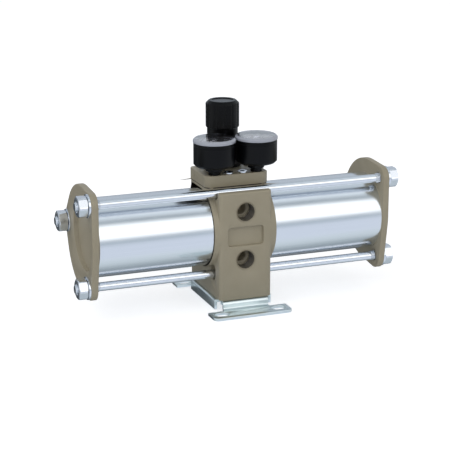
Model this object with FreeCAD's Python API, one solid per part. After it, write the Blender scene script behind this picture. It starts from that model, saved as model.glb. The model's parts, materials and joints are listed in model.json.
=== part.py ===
import FreeCAD, Part
import math
import os

# Air pressure booster, double acting, 3/8 ports. All sizes are in millimetres.
# X runs along the two tubes, Y to the rear, Z up. The origin is on the floor, under the middle of the foot.
V = FreeCAD.Vector
X_AXIS = V(1, 0, 0)
Z_AXIS = V(0, 0, 1)
SIDES = (-1, 1)

# Main line of the cylinders
AXIS_Y = -2.0
AXIS_Z = 69.7
BORE_RADIUS = 31.5
TUBE_WALL = 3.1
SEAT_CLEARANCE = 0.1
RUNNING_CLEARANCE = 0.06

# Centre body
BODY_WIDTH = 48.4
BODY_DEPTH = 76.0
BODY_BOTTOM = 10.3
BODY_TOP = 107.2
BODY_EDGE_RADIUS = 3.6
FLANGE_RADIUS = 36.0
FLANGE_THICKNESS = 4.7
TUBE_SEAT_DEPTH = 2.5
BOSS_LENGTH = 6.6
PAD_HEIGHT = 17.2
PAD_HOLE_RADIUS = 1.0
PAD_HOLE_DEPTH = 3.0
PAD_HOLE_Y = 20.2
PAD_HOLE_DROP = 3.8

# End covers
COVER_FACE_X = 138.0
COVER_RIM = 6.0
COVER_REAR_RADIUS = 47.5
COVER_FRONT_RADIUS = 35.5
COVER_LOBE_RADIUS = 11.0
COVER_SEAT_RADIUS = 36.2
COVER_SEAT_DEPTH = 2.2
COVER_SPIGOT_LENGTH = 8.0
DISH_DEPTH = 4.2
DISH_FRONT_RIM = 4.0
DISH_REAR_RADIUS = 31.8
DISH_REAR_SHIFT_Y = -8.0
DISH_REAR_SHIFT_Z = 6.3
COVER_EDGE_RADIUS = 1.2

# Tie rods, as an angle up from the front and a distance from the main line
ROD_RADIUS = 4.3
ROD_HOLE_CLEARANCE = 0.4
ROD_CHANNEL_RADIUS = 5.5
LOWER_CHANNEL_STRETCH = 3.0
FRONT_ROD_REACH = 43.0
REAR_ROD_REACH = 42.0
UPPER_ROD_ANGLE = 55.5
REAR_ROD_ANGLE = 172.0
LOWER_ROD_ANGLE = -64.5
WASHER_RADIUS = 10.2
WASHER_THICKNESS = 1.8
NUT_ACROSS_FLATS = 17.0
NUT_HEIGHT = 8.4
ROD_END_REACH = 1.8

# Seals at the ends of the tubes
TUBE_SEAL_DEPTH = 2.1
TUBE_SEAL_WIDTH = 2.2
TUBE_SEAL_SETBACK = 2.0

# Pistons and their rod
PISTON_THICKNESS = 17.0
PISTON_CLEARANCE = 0.5
HALF_STROKE = 33.0
STROKE_END_GAP = 0.3
PISTON_SEAL_WIDTH = 4.0
PISTON_SEAL_DEPTH = 3.5
WEAR_RING_WIDTH = 3.0
WEAR_RING_DEPTH = 2.5
PISTON_GROOVE_LAND = 2.4
PISTON_ROD_RADIUS = 8.0
ROD_TENON_RADIUS = 5.0
PISTON_NUT_ACROSS_FLATS = 16.0
PISTON_NUT_HEIGHT = 6.0
NUT_POCKET_RADIUS = 11.0
NUT_POCKET_DEPTH = 7.5
ROD_SEAL_THICKNESS = 3.0
ROD_SEAL_WIDTH = 4.5
ROD_BUSH_LENGTH = 24.0

# Changeover spool and its push rods
SPOOL_OFFSET_Y = 9.5
SPOOL_OFFSET_Z = -18.6
SPOOL_RADIUS = 6.0
SPOOL_WAIST_RADIUS = 3.8
SPOOL_HALF_LENGTH = 20.0
SPOOL_LAND = 6.0
SLEEVE_RADIUS = 8.0
END_CAP_THICKNESS = 5.0
PUSH_ROD_RADIUS = 2.5
PUSH_ROD_REACH = 5.0

# Ports, thread size Rc 3/8
PORT_RADIUS = 7.6
PORT_DEPTH = 14.0
PORT_CHAMFER = 0.9
PASSAGE_RADIUS = 5.0
PASSAGE_DEPTH = 10.0
LOWER_PORT_Z = 46.0
PORT_SPACING = 43.0
PANEL_WIDTH = 33.0
PANEL_HEIGHT = 17.0
PANEL_DEPTH = 3.5
PANEL_CORNER_RADIUS = 3.0

# Check valves: two from above, two from below
CHECK_BORE_RADIUS = 6.5
CHECK_UPPER_X = 15.0
CHECK_UPPER_Y = -4.5
CHECK_UPPER_DEPTH = 21.0
CHECK_LOWER_X = 15.5
CHECK_LOWER_Y = 14.0
CHECK_LOWER_DEPTH = 27.0
CHECK_SEAT_HEIGHT = 3.0
CHECK_SEAT_HOLE_RADIUS = 3.5
CHECK_DISC_RADIUS = 5.6
CHECK_DISC_HEIGHT = 2.5
CHECK_STEM_RADIUS = 1.8
CHECK_STEM_LENGTH = 5.0
CHECK_SPRING_RADIUS = 3.4
CHECK_WIRE_RADIUS = 0.45
CHECK_SPRING_TURNS = 5.0
CHECK_PLUG_HEIGHT = 7.0
PLUG_SOCKET_ACROSS_FLATS = 6.0
PLUG_SOCKET_DEPTH = 3.5

# Regulator block on top of the body
GASKET_THICKNESS = 0.8
BLOCK_FRONT_Y = -17.5
BLOCK_REAR_Y = 24.0
BLOCK_HEIGHT = 10.5
BLOCK_FRONT_BEVEL = 4.0
BLOCK_REAR_BEVEL = 1.2
BLOCK_EDGE_RADIUS = 1.2
BLOCK_BOSS_RADIUS = 17.8
REGULATOR_Y = 20.0
BLOCK_SLOT_Y = 13.5
BLOCK_SLOT_WIDTH = 1.2
BLOCK_SLOT_HEIGHT = 4.6
BLOCK_SLOT_DEPTH = 1.0
BLOCK_SLOT_DROP = 4.8
BLOCK_SCREW_REAR_EDGE = 8.3
BLOCK_SCREW_REAR_Y = 10.0
BLOCK_SCREW_FRONT_X = 6.5
BLOCK_SCREW_FRONT_Y = -12.0
BLOCK_SCREW_RADIUS = 2.5
BLOCK_SCREW_HEAD_RADIUS = 4.25
BLOCK_SCREW_HEAD_HEIGHT = 5.0
BLOCK_SCREW_SUNK = 4.0
BLOCK_SCREW_GRIP = 12.0

# Regulator bonnet, spring and valve
DIAPHRAGM_RADIUS = 16.0
DIAPHRAGM_THICKNESS = 1.0
CHAMBER_RADIUS = 11.0
CHAMBER_DEPTH = 2.0
BONNET_FLANGE_RADIUS = 17.4
BONNET_FLANGE_HEIGHT = 4.5
BONNET_RADIUS = 14.2
BONNET_HEIGHT = 27.1
BONNET_NECK_RADIUS = 12.0
BONNET_NECK_HEIGHT = 14.4
BONNET_WALL = 3.0
BONNET_NECK_FLOOR = 10.0
SPRING_PLATE_RADIUS = 9.6
SPRING_PLATE_THICKNESS = 1.6
SPRING_NUT_HEIGHT = 6.0
SPRING_NUT_DROP = 3.6
SPRING_NUT_GAP = 0.4
NUT_KEY_WIDTH = 4.0
NUT_KEY_DEPTH = 1.5
ADJUSTING_SPRING_RADIUS = 7.4
ADJUSTING_WIRE_RADIUS = 1.0
ADJUSTING_SPRING_TURNS = 4.5
SPINDLE_RADIUS = 4.0
SPINDLE_TAIL = 3.5
SPINDLE_HEAD = 11.0
SPINDLE_COLLAR_RADIUS = 8.0
SPINDLE_COLLAR_HEIGHT = 2.0
SPINDLE_COLLAR_GAP = 0.3
VALVE_BORE_RADIUS = 8.0
VALVE_BORE_DEPTH = 17.2
VALVE_SEAT_HEIGHT = 2.6
VALVE_SEAT_HOLE_RADIUS = 3.4
VALVE_HEAD_RADIUS = 5.4
VALVE_HEAD_HEIGHT = 4.0
VALVE_STEM_RADIUS = 1.5
VALVE_SPRING_RADIUS = 3.6
VALVE_WIRE_RADIUS = 0.5
VALVE_SPRING_TURNS = 4.0

# Knob
KNOB_RADIUS = 14.9
KNOB_HEIGHT = 31.2
KNOB_REST_GAP = 0.4
KNOB_SKIRT_HEIGHT = 6.6
KNOB_BEVEL_HEIGHT = 2.6
KNOB_SKIRT_RADIUS = 13.8
KNOB_TOP_RADIUS = 12.2
KNOB_SKIRT_CHAMFER = 1.2
KNOB_FLUTES = 12
KNOB_FLUTE_RADIUS = 1.6
KNOB_FLUTE_DEPTH = 0.6
KNOB_CAVITY_GAP = 0.5
KNOB_CAVITY_ROOM = 4.0
KNOB_CAP_RADIUS = 9.4
KNOB_CAP_THICKNESS = 1.4
KNOB_CAP_SUNK = 0.5

# Pressure gauges
GAUGE_GAP = 1.8
GAUGE_EDGE = 9.7
GAUGE_Y = -12.0
GAUGE_LIFT = 7.9
GAUGE_CASE_HEIGHT = 21.1
GAUGE_RADIUS = 18.3
GAUGE_WALL = 1.6
GAUGE_BOTTOM_CHAMFER = 2.0
GAUGE_COVER_RADIUS = 18.7
GAUGE_COVER_HEIGHT = 3.6
GAUGE_COVER_WALL = 1.5
GAUGE_COVER_LIP = 1.6
DIAL_THICKNESS = 0.6
DIAL_DROP = 1.6
DIAL_HOLE_RADIUS = 1.2
POINTER_LENGTH = 12.5
POINTER_TAIL = 4.5
POINTER_HALF_WIDTH = 0.9
POINTER_THICKNESS = 0.5
POINTER_LIFT = 0.5
POINTER_HUB_RADIUS = 2.0
ARBOR_RADIUS = 0.8
ARBOR_LENGTH = 5.0
STEM_RADIUS = 5.0
STEM_HEX_ACROSS_FLATS = 14.0
STEM_HEX_HEIGHT = 4.6
STEM_THREAD_DEPTH = 6.0
STEM_SOCKET_HEIGHT = 4.0
STEM_BORE_RADIUS = 1.6
BOURDON_RING_RADIUS = 9.2
BOURDON_TUBE_RADIUS = 1.7
BOURDON_SWEEP = 265.0

# Foot bracket
PLATE = 2.6
FOOT_DEPTH = 118.0
FOOT_WIDTH = 73.0
SLOT_EDGE = 10.0
SLOT_LENGTH = 13.0
SLOT_WIDTH = 9.0
FOOT_CORNER_RADIUS = 5.0
BEND_RADIUS = 1.6
CORNER_RELIEF = 3.0
FLANGE_DROP = 9.0
FLANGE_OVERHANG = 2.6
BRACKET_SCREW_X = 14.0
BRACKET_SCREW_Y = 27.0
BRACKET_SCREW_RADIUS = 3.0
BRACKET_SCREW_ACROSS_FLATS = 10.0
BRACKET_SCREW_HEAD = 4.0
BRACKET_SCREW_GRIP = 14.0

# Places that follow from the sizes above
TUBE_RADIUS = BORE_RADIUS + TUBE_WALL
BODY_SIDE_X = BODY_WIDTH / 2
BODY_FRONT_Y = -BODY_DEPTH / 2
FLANGE_FACE_X = BODY_SIDE_X + FLANGE_THICKNESS
TUBE_INNER_X = FLANGE_FACE_X - TUBE_SEAT_DEPTH
BOSS_FACE_X = TUBE_INNER_X + BOSS_LENGTH
BOSS_RADIUS = BORE_RADIUS - SEAT_CLEARANCE
COVER_BACK_X = COVER_FACE_X - COVER_RIM
SPIGOT_FACE_X = COVER_BACK_X - COVER_SPIGOT_LENGTH
PISTON_INNER_X = BOSS_FACE_X + PUSH_ROD_REACH + STROKE_END_GAP + HALF_STROKE
PISTON_OUTER_X = PISTON_INNER_X + PISTON_THICKNESS
PISTON_RADIUS = BORE_RADIUS - PISTON_CLEARANCE
RUBBING_RADIUS = BORE_RADIUS - RUNNING_CLEARANCE
ROD_BORE_RADIUS = PISTON_ROD_RADIUS + RUNNING_CLEARANCE
ROD_SEAL_RADIUS = PISTON_ROD_RADIUS + ROD_SEAL_THICKNESS
SPOOL_Y = AXIS_Y + SPOOL_OFFSET_Y
SPOOL_Z = AXIS_Z + SPOOL_OFFSET_Z
SLEEVE_HALF_LENGTH = BOSS_FACE_X - END_CAP_THICKNESS
UPPER_PORT_Z = LOWER_PORT_Z + PORT_SPACING
GAUGE_SPACING = 2 * GAUGE_COVER_RADIUS + GAUGE_GAP
BLOCK_WIDTH = GAUGE_SPACING + 2 * GAUGE_EDGE
BLOCK_BOTTOM = BODY_TOP + GASKET_THICKNESS
BLOCK_TOP = BLOCK_BOTTOM + BLOCK_HEIGHT
BONNET_BOTTOM = BLOCK_TOP + DIAPHRAGM_THICKNESS
BONNET_SHOULDER_Z = BLOCK_TOP + BONNET_HEIGHT
BONNET_NECK_TOP_Z = BONNET_SHOULDER_Z + BONNET_NECK_HEIGHT
BONNET_CEILING_Z = BONNET_NECK_TOP_Z - BONNET_NECK_FLOOR
SPRING_PLATE_TOP = BONNET_BOTTOM + SPRING_PLATE_THICKNESS
SPRING_NUT_TOP_Z = BONNET_SHOULDER_Z - SPRING_NUT_DROP
SPRING_NUT_BOTTOM = SPRING_NUT_TOP_Z - SPRING_NUT_HEIGHT
SPINDLE_BOTTOM_Z = SPRING_NUT_BOTTOM - SPINDLE_TAIL
SPINDLE_TOP_Z = BONNET_NECK_TOP_Z + SPINDLE_HEAD
KNOB_BOTTOM_Z = BONNET_SHOULDER_Z + KNOB_REST_GAP
KNOB_TOP_Z = KNOB_BOTTOM_Z + KNOB_HEIGHT
VALVE_BORE_BOTTOM_Z = BODY_TOP - VALVE_BORE_DEPTH
VALVE_SEAT_BOTTOM = BODY_TOP - VALVE_SEAT_HEIGHT
VALVE_HEAD_BOTTOM = VALVE_SEAT_BOTTOM - VALVE_HEAD_HEIGHT
CHECK_UPPER_BOTTOM = BODY_TOP - CHECK_UPPER_DEPTH
CHECK_LOWER_TOP = BODY_BOTTOM + CHECK_LOWER_DEPTH
BRACKET_TOP_UNDERSIDE = BODY_BOTTOM - PLATE
SLOT_SPACING_X = FOOT_WIDTH - 2 * SLOT_EDGE
SLOT_SPACING_Y = FOOT_DEPTH - 2 * SLOT_EDGE
GAUGE_BOTTOM_Z = BLOCK_TOP + GAUGE_LIFT
GAUGE_CASE_TOP_Z = GAUGE_BOTTOM_Z + GAUGE_CASE_HEIGHT
DIAL_TOP_Z = GAUGE_CASE_TOP_Z - DIAL_DROP


def rod_place(reach, angle):
    """Y and Z of a tie rod."""
    turn = math.radians(angle)
    return AXIS_Y - reach * math.cos(turn), AXIS_Z + reach * math.sin(turn)


UPPER_ROD = rod_place(FRONT_ROD_REACH, UPPER_ROD_ANGLE)
REAR_ROD = rod_place(REAR_ROD_REACH, REAR_ROD_ANGLE)
LOWER_ROD = rod_place(FRONT_ROD_REACH, LOWER_ROD_ANGLE)
RODS = {"tie_rod_upper": UPPER_ROD, "tie_rod_rear": REAR_ROD, "tie_rod_lower": LOWER_ROD}


# Plain shapes

def rod_x(radius, x_from, x_to, y=AXIS_Y, z=AXIS_Z):
    """Round bar along X between two places, in either order."""
    low = min(x_from, x_to)
    return Part.makeCylinder(radius, abs(x_to - x_from), V(low, y, z), X_AXIS)


def ring_x(outer, inner, x_from, x_to, y=AXIS_Y, z=AXIS_Z):
    """Round sleeve along X."""
    return rod_x(outer, x_from, x_to, y, z).cut(rod_x(inner, x_from, x_to, y, z))


def rod_z(radius, z_from, z_to, x=0.0, y=0.0):
    """Round bar along Z."""
    return Part.makeCylinder(radius, z_to - z_from, V(x, y, z_from), Z_AXIS)


def ring_z(outer, inner, z_from, z_to, x=0.0, y=0.0):
    """Round sleeve along Z."""
    return rod_z(outer, z_from, z_to, x, y).cut(rod_z(inner, z_from, z_to, x, y))


def block(x_from, x_to, y_from, y_to, z_from, z_to):
    """Square-edged block between two corners."""
    return Part.makeBox(x_to - x_from, y_to - y_from, z_to - z_from, V(x_from, y_from, z_from))


def turned_z(profile, x, y):
    """Solid of revolution about a vertical line, from (radius, z) points."""
    points = [V(x + radius, y, z) for radius, z in profile]
    face = Part.Face(Part.makePolygon(points + points[:1]))
    return face.revolve(V(x, y, 0), Z_AXIS, 360)


def turned_x(profile, y=AXIS_Y, z=AXIS_Z):
    """Solid of revolution about a line along X, from (x, radius) points."""
    points = [V(x, y + radius, z) for x, radius in profile]
    face = Part.Face(Part.makePolygon(points + points[:1]))
    return face.revolve(V(0, y, z), X_AXIS, 360)


def hexagon(across_flats, start, height, axis):
    """Hexagonal prism from a start point along an axis."""
    reach = across_flats / 2 / math.cos(math.radians(30))
    side = V(0, 1, 0) if axis.x else V(1, 0, 0)
    turns = [FreeCAD.Rotation(axis, 60 * step) for step in range(6)]
    points = [start + turn.multVec(side * reach) for turn in turns]
    return Part.Face(Part.makePolygon(points + points[:1])).extrude(axis * height)


def hex_with_chamfer(across_flats, start, height, axis, free_ends):
    """Hexagon whose corners are turned down to a cone at its free ends."""
    shape = hexagon(across_flats, start, height, axis)
    corner = across_flats / 2 / math.cos(math.radians(30))
    flat = across_flats / 2
    drop = (corner - flat) * math.tan(math.radians(30))
    if "high" in free_ends:
        cone = Part.makeCone(corner, flat, drop, start + axis * (height - drop), axis)
        shape = shape.common(rod_along(corner, start, height - drop, axis).fuse(cone))
    if "low" in free_ends:
        cone = Part.makeCone(flat, corner, drop, start, axis)
        shape = shape.common(rod_along(corner, start + axis * drop, height - drop, axis).fuse(cone))
    return shape


def rod_along(radius, start, length, axis):
    """Round bar from a point along any axis."""
    return Part.makeCylinder(radius, length, start, axis)


def spring(mean_radius, wire_radius, turns, z_from, z_to, x, y):
    """Coil spring that stands between two heights."""
    height = z_to - z_from - 2 * wire_radius
    path = Part.makeHelix(height / turns, height, mean_radius)
    path.translate(V(x, y, z_from + wire_radius))
    section = Part.makeCircle(wire_radius, V(x + mean_radius, y, z_from + wire_radius), V(0, 1, 0))
    coil = Part.Wire(path.Edges).makePipeShell([Part.Wire(section)], True, True)
    return Part.Solid(coil) if coil.ShapeType == "Shell" else coil


def belt(circles, x):
    """Face in the plane of one X, bounded by a belt round circles (y, z, radius) in turn."""
    normals = []
    for index, (y_one, z_one, r_one) in enumerate(circles):
        y_two, z_two, r_two = circles[(index + 1) % len(circles)]
        span = math.hypot(y_two - y_one, z_two - z_one)
        heading = math.atan2(z_two - z_one, y_two - y_one)
        normals.append(heading - math.acos((r_one - r_two) / span))

    def on_circle(circle, angle):
        y, z, radius = circle
        return V(x, y + radius * math.cos(angle), z + radius * math.sin(angle))

    edges = []
    for index, circle in enumerate(circles):
        start = normals[index - 1]
        sweep = (normals[index] - start) % (2 * math.pi)
        following = circles[(index + 1) % len(circles)]
        first = on_circle(circle, start)
        middle = on_circle(circle, start + sweep / 2)
        last = on_circle(circle, start + sweep)
        edges.append(Part.Arc(first, middle, last).toShape())
        edges.append(Part.makeLine(last, on_circle(following, normals[index])))
    return Part.Face(Part.Wire(edges))


def slot_z(length, width, z_from, z_to, x, y):
    """Upright slot with round ends, long in X."""
    half = (length - width) / 2
    middle = block(x - half, x + half, y - width / 2, y + width / 2, z_from, z_to)
    ends = [rod_z(width / 2, z_from, z_to, x + side * half, y) for side in SIDES]
    return middle.fuse(ends)


def rounded_edges(shape, radius, wanted):
    """Shape with a fillet on the edges that a test picks."""
    return shape.makeFillet(radius, [edge for edge in shape.Edges if wanted(edge)])


def edge_along(edge, axis):
    """True for a straight edge along one axis."""
    if edge.Curve.TypeId != "Part::GeomLine":
        return False
    heading = edge.Vertexes[0].Point - edge.Vertexes[-1].Point
    return heading.cross(axis).Length < 1e-6


def mirrored(shape):
    """The same piece on the other side."""
    return shape.mirror(V(0, 0, 0), X_AXIS)


def group(shapes):
    """Several separate solids as one piece."""
    return Part.makeCompound(shapes)


# Centre body

def threaded_port(y_face, inward, z):
    """Port bore with its mouth chamfer and the passage behind it, as a cutter."""
    mouth = V(0, y_face, z)
    heading = V(0, inward, 0)
    thread = rod_along(PORT_RADIUS, mouth, PORT_DEPTH, heading)
    passage = rod_along(PASSAGE_RADIUS, mouth, PORT_DEPTH + PASSAGE_DEPTH, heading)
    chamfer = Part.makeCone(PORT_RADIUS + PORT_CHAMFER, PORT_RADIUS, PORT_CHAMFER, mouth, heading)
    return thread.fuse([passage, chamfer])


def rod_channels():
    """Room for the tie rods: open to the top, open to the rear, and one upright slot."""
    far = COVER_FACE_X
    upper_y, upper_z = UPPER_ROD
    rear_y, rear_z = REAR_ROD
    lower_y, lower_z = LOWER_ROD
    reach = ROD_CHANNEL_RADIUS
    above = block(-far, far, upper_y - reach, upper_y + reach, upper_z, upper_z + far)
    behind = block(-far, far, rear_y, rear_y + far, rear_z - reach, rear_z + reach)
    slot_top = lower_z + LOWER_CHANNEL_STRETCH
    slot = block(-far, far, lower_y - reach, lower_y + reach, lower_z, slot_top)
    bores = [rod_x(reach, -far, far, y, z) for y, z in (UPPER_ROD, REAR_ROD, LOWER_ROD, (lower_y, slot_top))]
    return bores[0].fuse(bores[1:] + [above, behind, slot])


def centre_body():
    """Casting that carries both tubes, the ports, the rod seals and all the valves."""
    shape = block(-BODY_SIDE_X, BODY_SIDE_X, BODY_FRONT_Y, -BODY_FRONT_Y, BODY_BOTTOM, BODY_TOP)
    shape = rounded_edges(shape, BODY_EDGE_RADIUS, lambda edge: edge_along(edge, Z_AXIS))
    shape = rounded_edges(shape, BODY_EDGE_RADIUS / 2, lambda edge: edge.BoundBox.ZMin > BODY_TOP - 0.01)
    shape = shape.fuse(bevelled_plan(FLANGE_FACE_X, BODY_TOP - PAD_HEIGHT, BODY_TOP))
    for side in SIDES:
        face = side * FLANGE_FACE_X
        shape = shape.fuse(rod_x(FLANGE_RADIUS, side * (BODY_SIDE_X - BODY_EDGE_RADIUS), face))
        shape = shape.cut(rod_x(TUBE_RADIUS + SEAT_CLEARANCE, side * TUBE_INNER_X, face))
        boss = rod_x(BOSS_RADIUS, side * TUBE_INNER_X, side * BOSS_FACE_X)
        shape = shape.fuse(boss).cut(tube_seal_groove(side, BOSS_FACE_X, -1))
        seal_seat = side * (BOSS_FACE_X - ROD_SEAL_WIDTH)
        shape = shape.cut(rod_x(ROD_SEAL_RADIUS, seal_seat, side * BOSS_FACE_X))
    shape = shape.cut(rod_x(ROD_BORE_RADIUS + ROD_HOLE_CLEARANCE, -BOSS_FACE_X, BOSS_FACE_X))
    shape = shape.cut(rod_x(ROD_SEAL_RADIUS, -ROD_BUSH_LENGTH / 2, ROD_BUSH_LENGTH / 2))
    shape = shape.cut(rod_x(SLEEVE_RADIUS, -BOSS_FACE_X, BOSS_FACE_X, SPOOL_Y, SPOOL_Z))
    shape = shape.cut(rod_channels())
    shape = shape.cut(threaded_port(BODY_FRONT_Y, 1, LOWER_PORT_Z))
    shape = shape.cut(threaded_port(BODY_FRONT_Y, 1, UPPER_PORT_Z))
    shape = shape.cut(threaded_port(-BODY_FRONT_Y, -1, SPOOL_Z))
    shape = shape.cut(panel_recess())
    shape = shape.cut(rod_z(VALVE_BORE_RADIUS, VALVE_BORE_BOTTOM_Z, BODY_TOP, 0, REGULATOR_Y))
    for side in SIDES:
        x = side * CHECK_UPPER_X
        shape = shape.cut(rod_z(CHECK_BORE_RADIUS, CHECK_UPPER_BOTTOM, BODY_TOP, x, CHECK_UPPER_Y))
        x = side * CHECK_LOWER_X
        shape = shape.cut(rod_z(CHECK_BORE_RADIUS, BODY_BOTTOM, CHECK_LOWER_TOP, x, CHECK_LOWER_Y))
    shape = shape.cut(rod_x(PAD_HOLE_RADIUS, -FLANGE_FACE_X, PAD_HOLE_DEPTH - FLANGE_FACE_X,
                            PAD_HOLE_Y, BODY_TOP - PAD_HOLE_DROP))
    for x, y in block_screw_places():
        shape = shape.cut(rod_z(BLOCK_SCREW_RADIUS, BODY_TOP - BLOCK_SCREW_GRIP, BODY_TOP, x, y))
    for x, y in bracket_screw_places():
        top = BODY_BOTTOM + BRACKET_SCREW_GRIP
        shape = shape.cut(rod_z(BRACKET_SCREW_RADIUS, BODY_BOTTOM, top, x, y))
    return shape


def bevelled_plan(half_width, z_from, z_to):
    """Upright block in the regulator's plan, with its front corners bevelled and the rear ones eased."""
    shape = block(-half_width, half_width, BLOCK_FRONT_Y, BLOCK_REAR_Y, z_from, z_to)
    for place, bevel in ((BLOCK_FRONT_Y, BLOCK_FRONT_BEVEL), (BLOCK_REAR_Y, BLOCK_REAR_BEVEL)):
        corners = [edge for edge in shape.Edges
                   if edge_along(edge, Z_AXIS) and abs(edge.BoundBox.Center.y - place) < 0.01]
        shape = shape.makeChamfer(bevel, corners)
    return shape


def panel_recess():
    """Shallow bare recess in the front face, midway between the two ports, as a cutter."""
    middle = (LOWER_PORT_Z + UPPER_PORT_Z) / 2
    half_width = PANEL_WIDTH / 2
    half_height = PANEL_HEIGHT / 2
    shape = block(-half_width, half_width, BODY_FRONT_Y - PANEL_DEPTH, BODY_FRONT_Y + PANEL_DEPTH,
                  middle - half_height, middle + half_height)
    return rounded_edges(shape, PANEL_CORNER_RADIUS, lambda edge: edge_along(edge, V(0, 1, 0)))


# Tubes, covers and their seals

def tube_seal_groove(side, face, inward):
    """Ring-shaped groove behind a boss face for the seal inside a tube end, as a cutter."""
    near = face + inward * TUBE_SEAL_SETBACK
    far = near + inward * TUBE_SEAL_WIDTH
    return ring_x(BORE_RADIUS, BORE_RADIUS - TUBE_SEAL_DEPTH, side * near, side * far)


def tube_seals():
    """Four seal rings, one inside each tube end."""
    rings = []
    for side in SIDES:
        rings.append(tube_seal_groove(side, BOSS_FACE_X, -1))
        rings.append(tube_seal_groove(side, SPIGOT_FACE_X, 1))
    return group(rings)


def tube(side):
    """Cylinder tube from the body's seat to the cover."""
    return ring_x(TUBE_RADIUS, BORE_RADIUS, side * TUBE_INNER_X, side * COVER_BACK_X)


def cover_outline(x):
    """Plate outline: a round back, a lobe at each rod and a flatter front."""
    rear = (AXIS_Y, AXIS_Z, COVER_REAR_RADIUS)
    front = (AXIS_Y, AXIS_Z, COVER_FRONT_RADIUS)
    lobes = [place + (COVER_LOBE_RADIUS,) for place in (REAR_ROD, UPPER_ROD, LOWER_ROD)]
    return belt([lobes[0], rear, lobes[1], front, lobes[2], rear], x)


def dish():
    """Hollow of a cover's outer face, as a cutter: an even rim in front, a wide shelf at the rear rod."""
    floor_x = COVER_FACE_X - DISH_DEPTH
    front = rod_x(COVER_FRONT_RADIUS - DISH_FRONT_RIM, floor_x, COVER_FACE_X)
    rear_y = AXIS_Y + DISH_REAR_SHIFT_Y
    rear_z = AXIS_Z + DISH_REAR_SHIFT_Z
    rear = rod_x(DISH_REAR_RADIUS, floor_x, COVER_FACE_X, rear_y, rear_z)
    return front.common(rear)


def right_cover():
    """End plate with its dished outer face, the tube's seat ring and the spigot inside the tube."""
    plate = cover_outline(COVER_BACK_X).extrude(X_AXIS * COVER_RIM)
    plate = rounded_edges(plate, COVER_EDGE_RADIUS, lambda edge: edge.BoundBox.XMin > COVER_FACE_X - 0.01)
    seat_x = COVER_BACK_X - COVER_SEAT_DEPTH
    ring = ring_x(COVER_SEAT_RADIUS, TUBE_RADIUS + SEAT_CLEARANCE, seat_x, COVER_BACK_X)
    spigot = rod_x(BOSS_RADIUS, SPIGOT_FACE_X, COVER_BACK_X)
    shape = plate.fuse([ring, spigot]).cut(dish()).cut(tube_seal_groove(1, SPIGOT_FACE_X, 1))
    for y, z in RODS.values():
        shape = shape.cut(rod_x(ROD_RADIUS + ROD_HOLE_CLEARANCE, COVER_BACK_X, COVER_FACE_X, y, z))
    return shape


# Tie rods, washers and nuts

def tie_rod(y, z):
    """Long stud that clamps both covers and tubes against the body."""
    reach = COVER_FACE_X + WASHER_THICKNESS + NUT_HEIGHT + ROD_END_REACH
    shape = rod_x(ROD_RADIUS, -reach, reach, y, z)
    return shape.makeChamfer(0.8, [edge for edge in shape.Edges if edge.Curve.TypeId == "Part::GeomCircle"])


def tie_rod_washers():
    """Flat washers under the nuts."""
    hole = ROD_RADIUS + SEAT_CLEARANCE
    rings = []
    for side in SIDES:
        near = side * COVER_FACE_X
        far = side * (COVER_FACE_X + WASHER_THICKNESS)
        rings += [ring_x(WASHER_RADIUS, hole, near, far, y, z) for y, z in RODS.values()]
    return group(rings)


def tie_rod_nuts():
    """Hexagon nuts at both ends of the tie rods."""
    nuts = []
    for side in SIDES:
        axis = X_AXIS * side
        for y, z in RODS.values():
            seat = V(side * (COVER_FACE_X + WASHER_THICKNESS), y, z)
            nut = hex_with_chamfer(NUT_ACROSS_FLATS, seat, NUT_HEIGHT, axis, "high")
            nuts.append(nut.cut(rod_along(ROD_RADIUS, seat, NUT_HEIGHT, axis)))
    return group(nuts)


# Pistons

def right_piston():
    """Disc piston with two grooves in its rim and a pocket for the nut in its outer face."""
    inner = PISTON_INNER_X
    outer = PISTON_OUTER_X
    seal_from = inner + PISTON_GROOVE_LAND
    seal_to = seal_from + PISTON_SEAL_WIDTH
    wear_to = outer - PISTON_GROOVE_LAND
    wear_from = wear_to - WEAR_RING_WIDTH
    seal_floor = BORE_RADIUS - PISTON_SEAL_DEPTH
    wear_floor = BORE_RADIUS - WEAR_RING_DEPTH
    pocket = outer - NUT_POCKET_DEPTH
    return turned_x([
        (inner, ROD_TENON_RADIUS), (inner, PISTON_RADIUS), (seal_from, PISTON_RADIUS),
        (seal_from, seal_floor), (seal_to, seal_floor), (seal_to, PISTON_RADIUS),
        (wear_from, PISTON_RADIUS), (wear_from, wear_floor), (wear_to, wear_floor),
        (wear_to, PISTON_RADIUS), (outer, PISTON_RADIUS), (outer, NUT_POCKET_RADIUS),
        (pocket, NUT_POCKET_RADIUS), (pocket, ROD_TENON_RADIUS)])


def piston_seals():
    """Sliding seal of each piston."""
    near = PISTON_INNER_X + PISTON_GROOVE_LAND
    far = near + PISTON_SEAL_WIDTH
    floor = BORE_RADIUS - PISTON_SEAL_DEPTH
    return group([ring_x(RUBBING_RADIUS, floor, side * near, side * far) for side in SIDES])


def piston_wear_rings():
    """Guide ring of each piston."""
    far = PISTON_OUTER_X - PISTON_GROOVE_LAND
    near = far - WEAR_RING_WIDTH
    floor = BORE_RADIUS - WEAR_RING_DEPTH
    return group([ring_x(RUBBING_RADIUS, floor, side * near, side * far) for side in SIDES])


def piston_rod():
    """Rod that joins the two pistons, with a tenon at each end."""
    pocket_floor = PISTON_OUTER_X - NUT_POCKET_DEPTH
    tenon = pocket_floor + PISTON_NUT_HEIGHT
    shaft = rod_x(PISTON_ROD_RADIUS, -PISTON_INNER_X, PISTON_INNER_X)
    return shaft.fuse(rod_x(ROD_TENON_RADIUS, -tenon, tenon))


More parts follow.
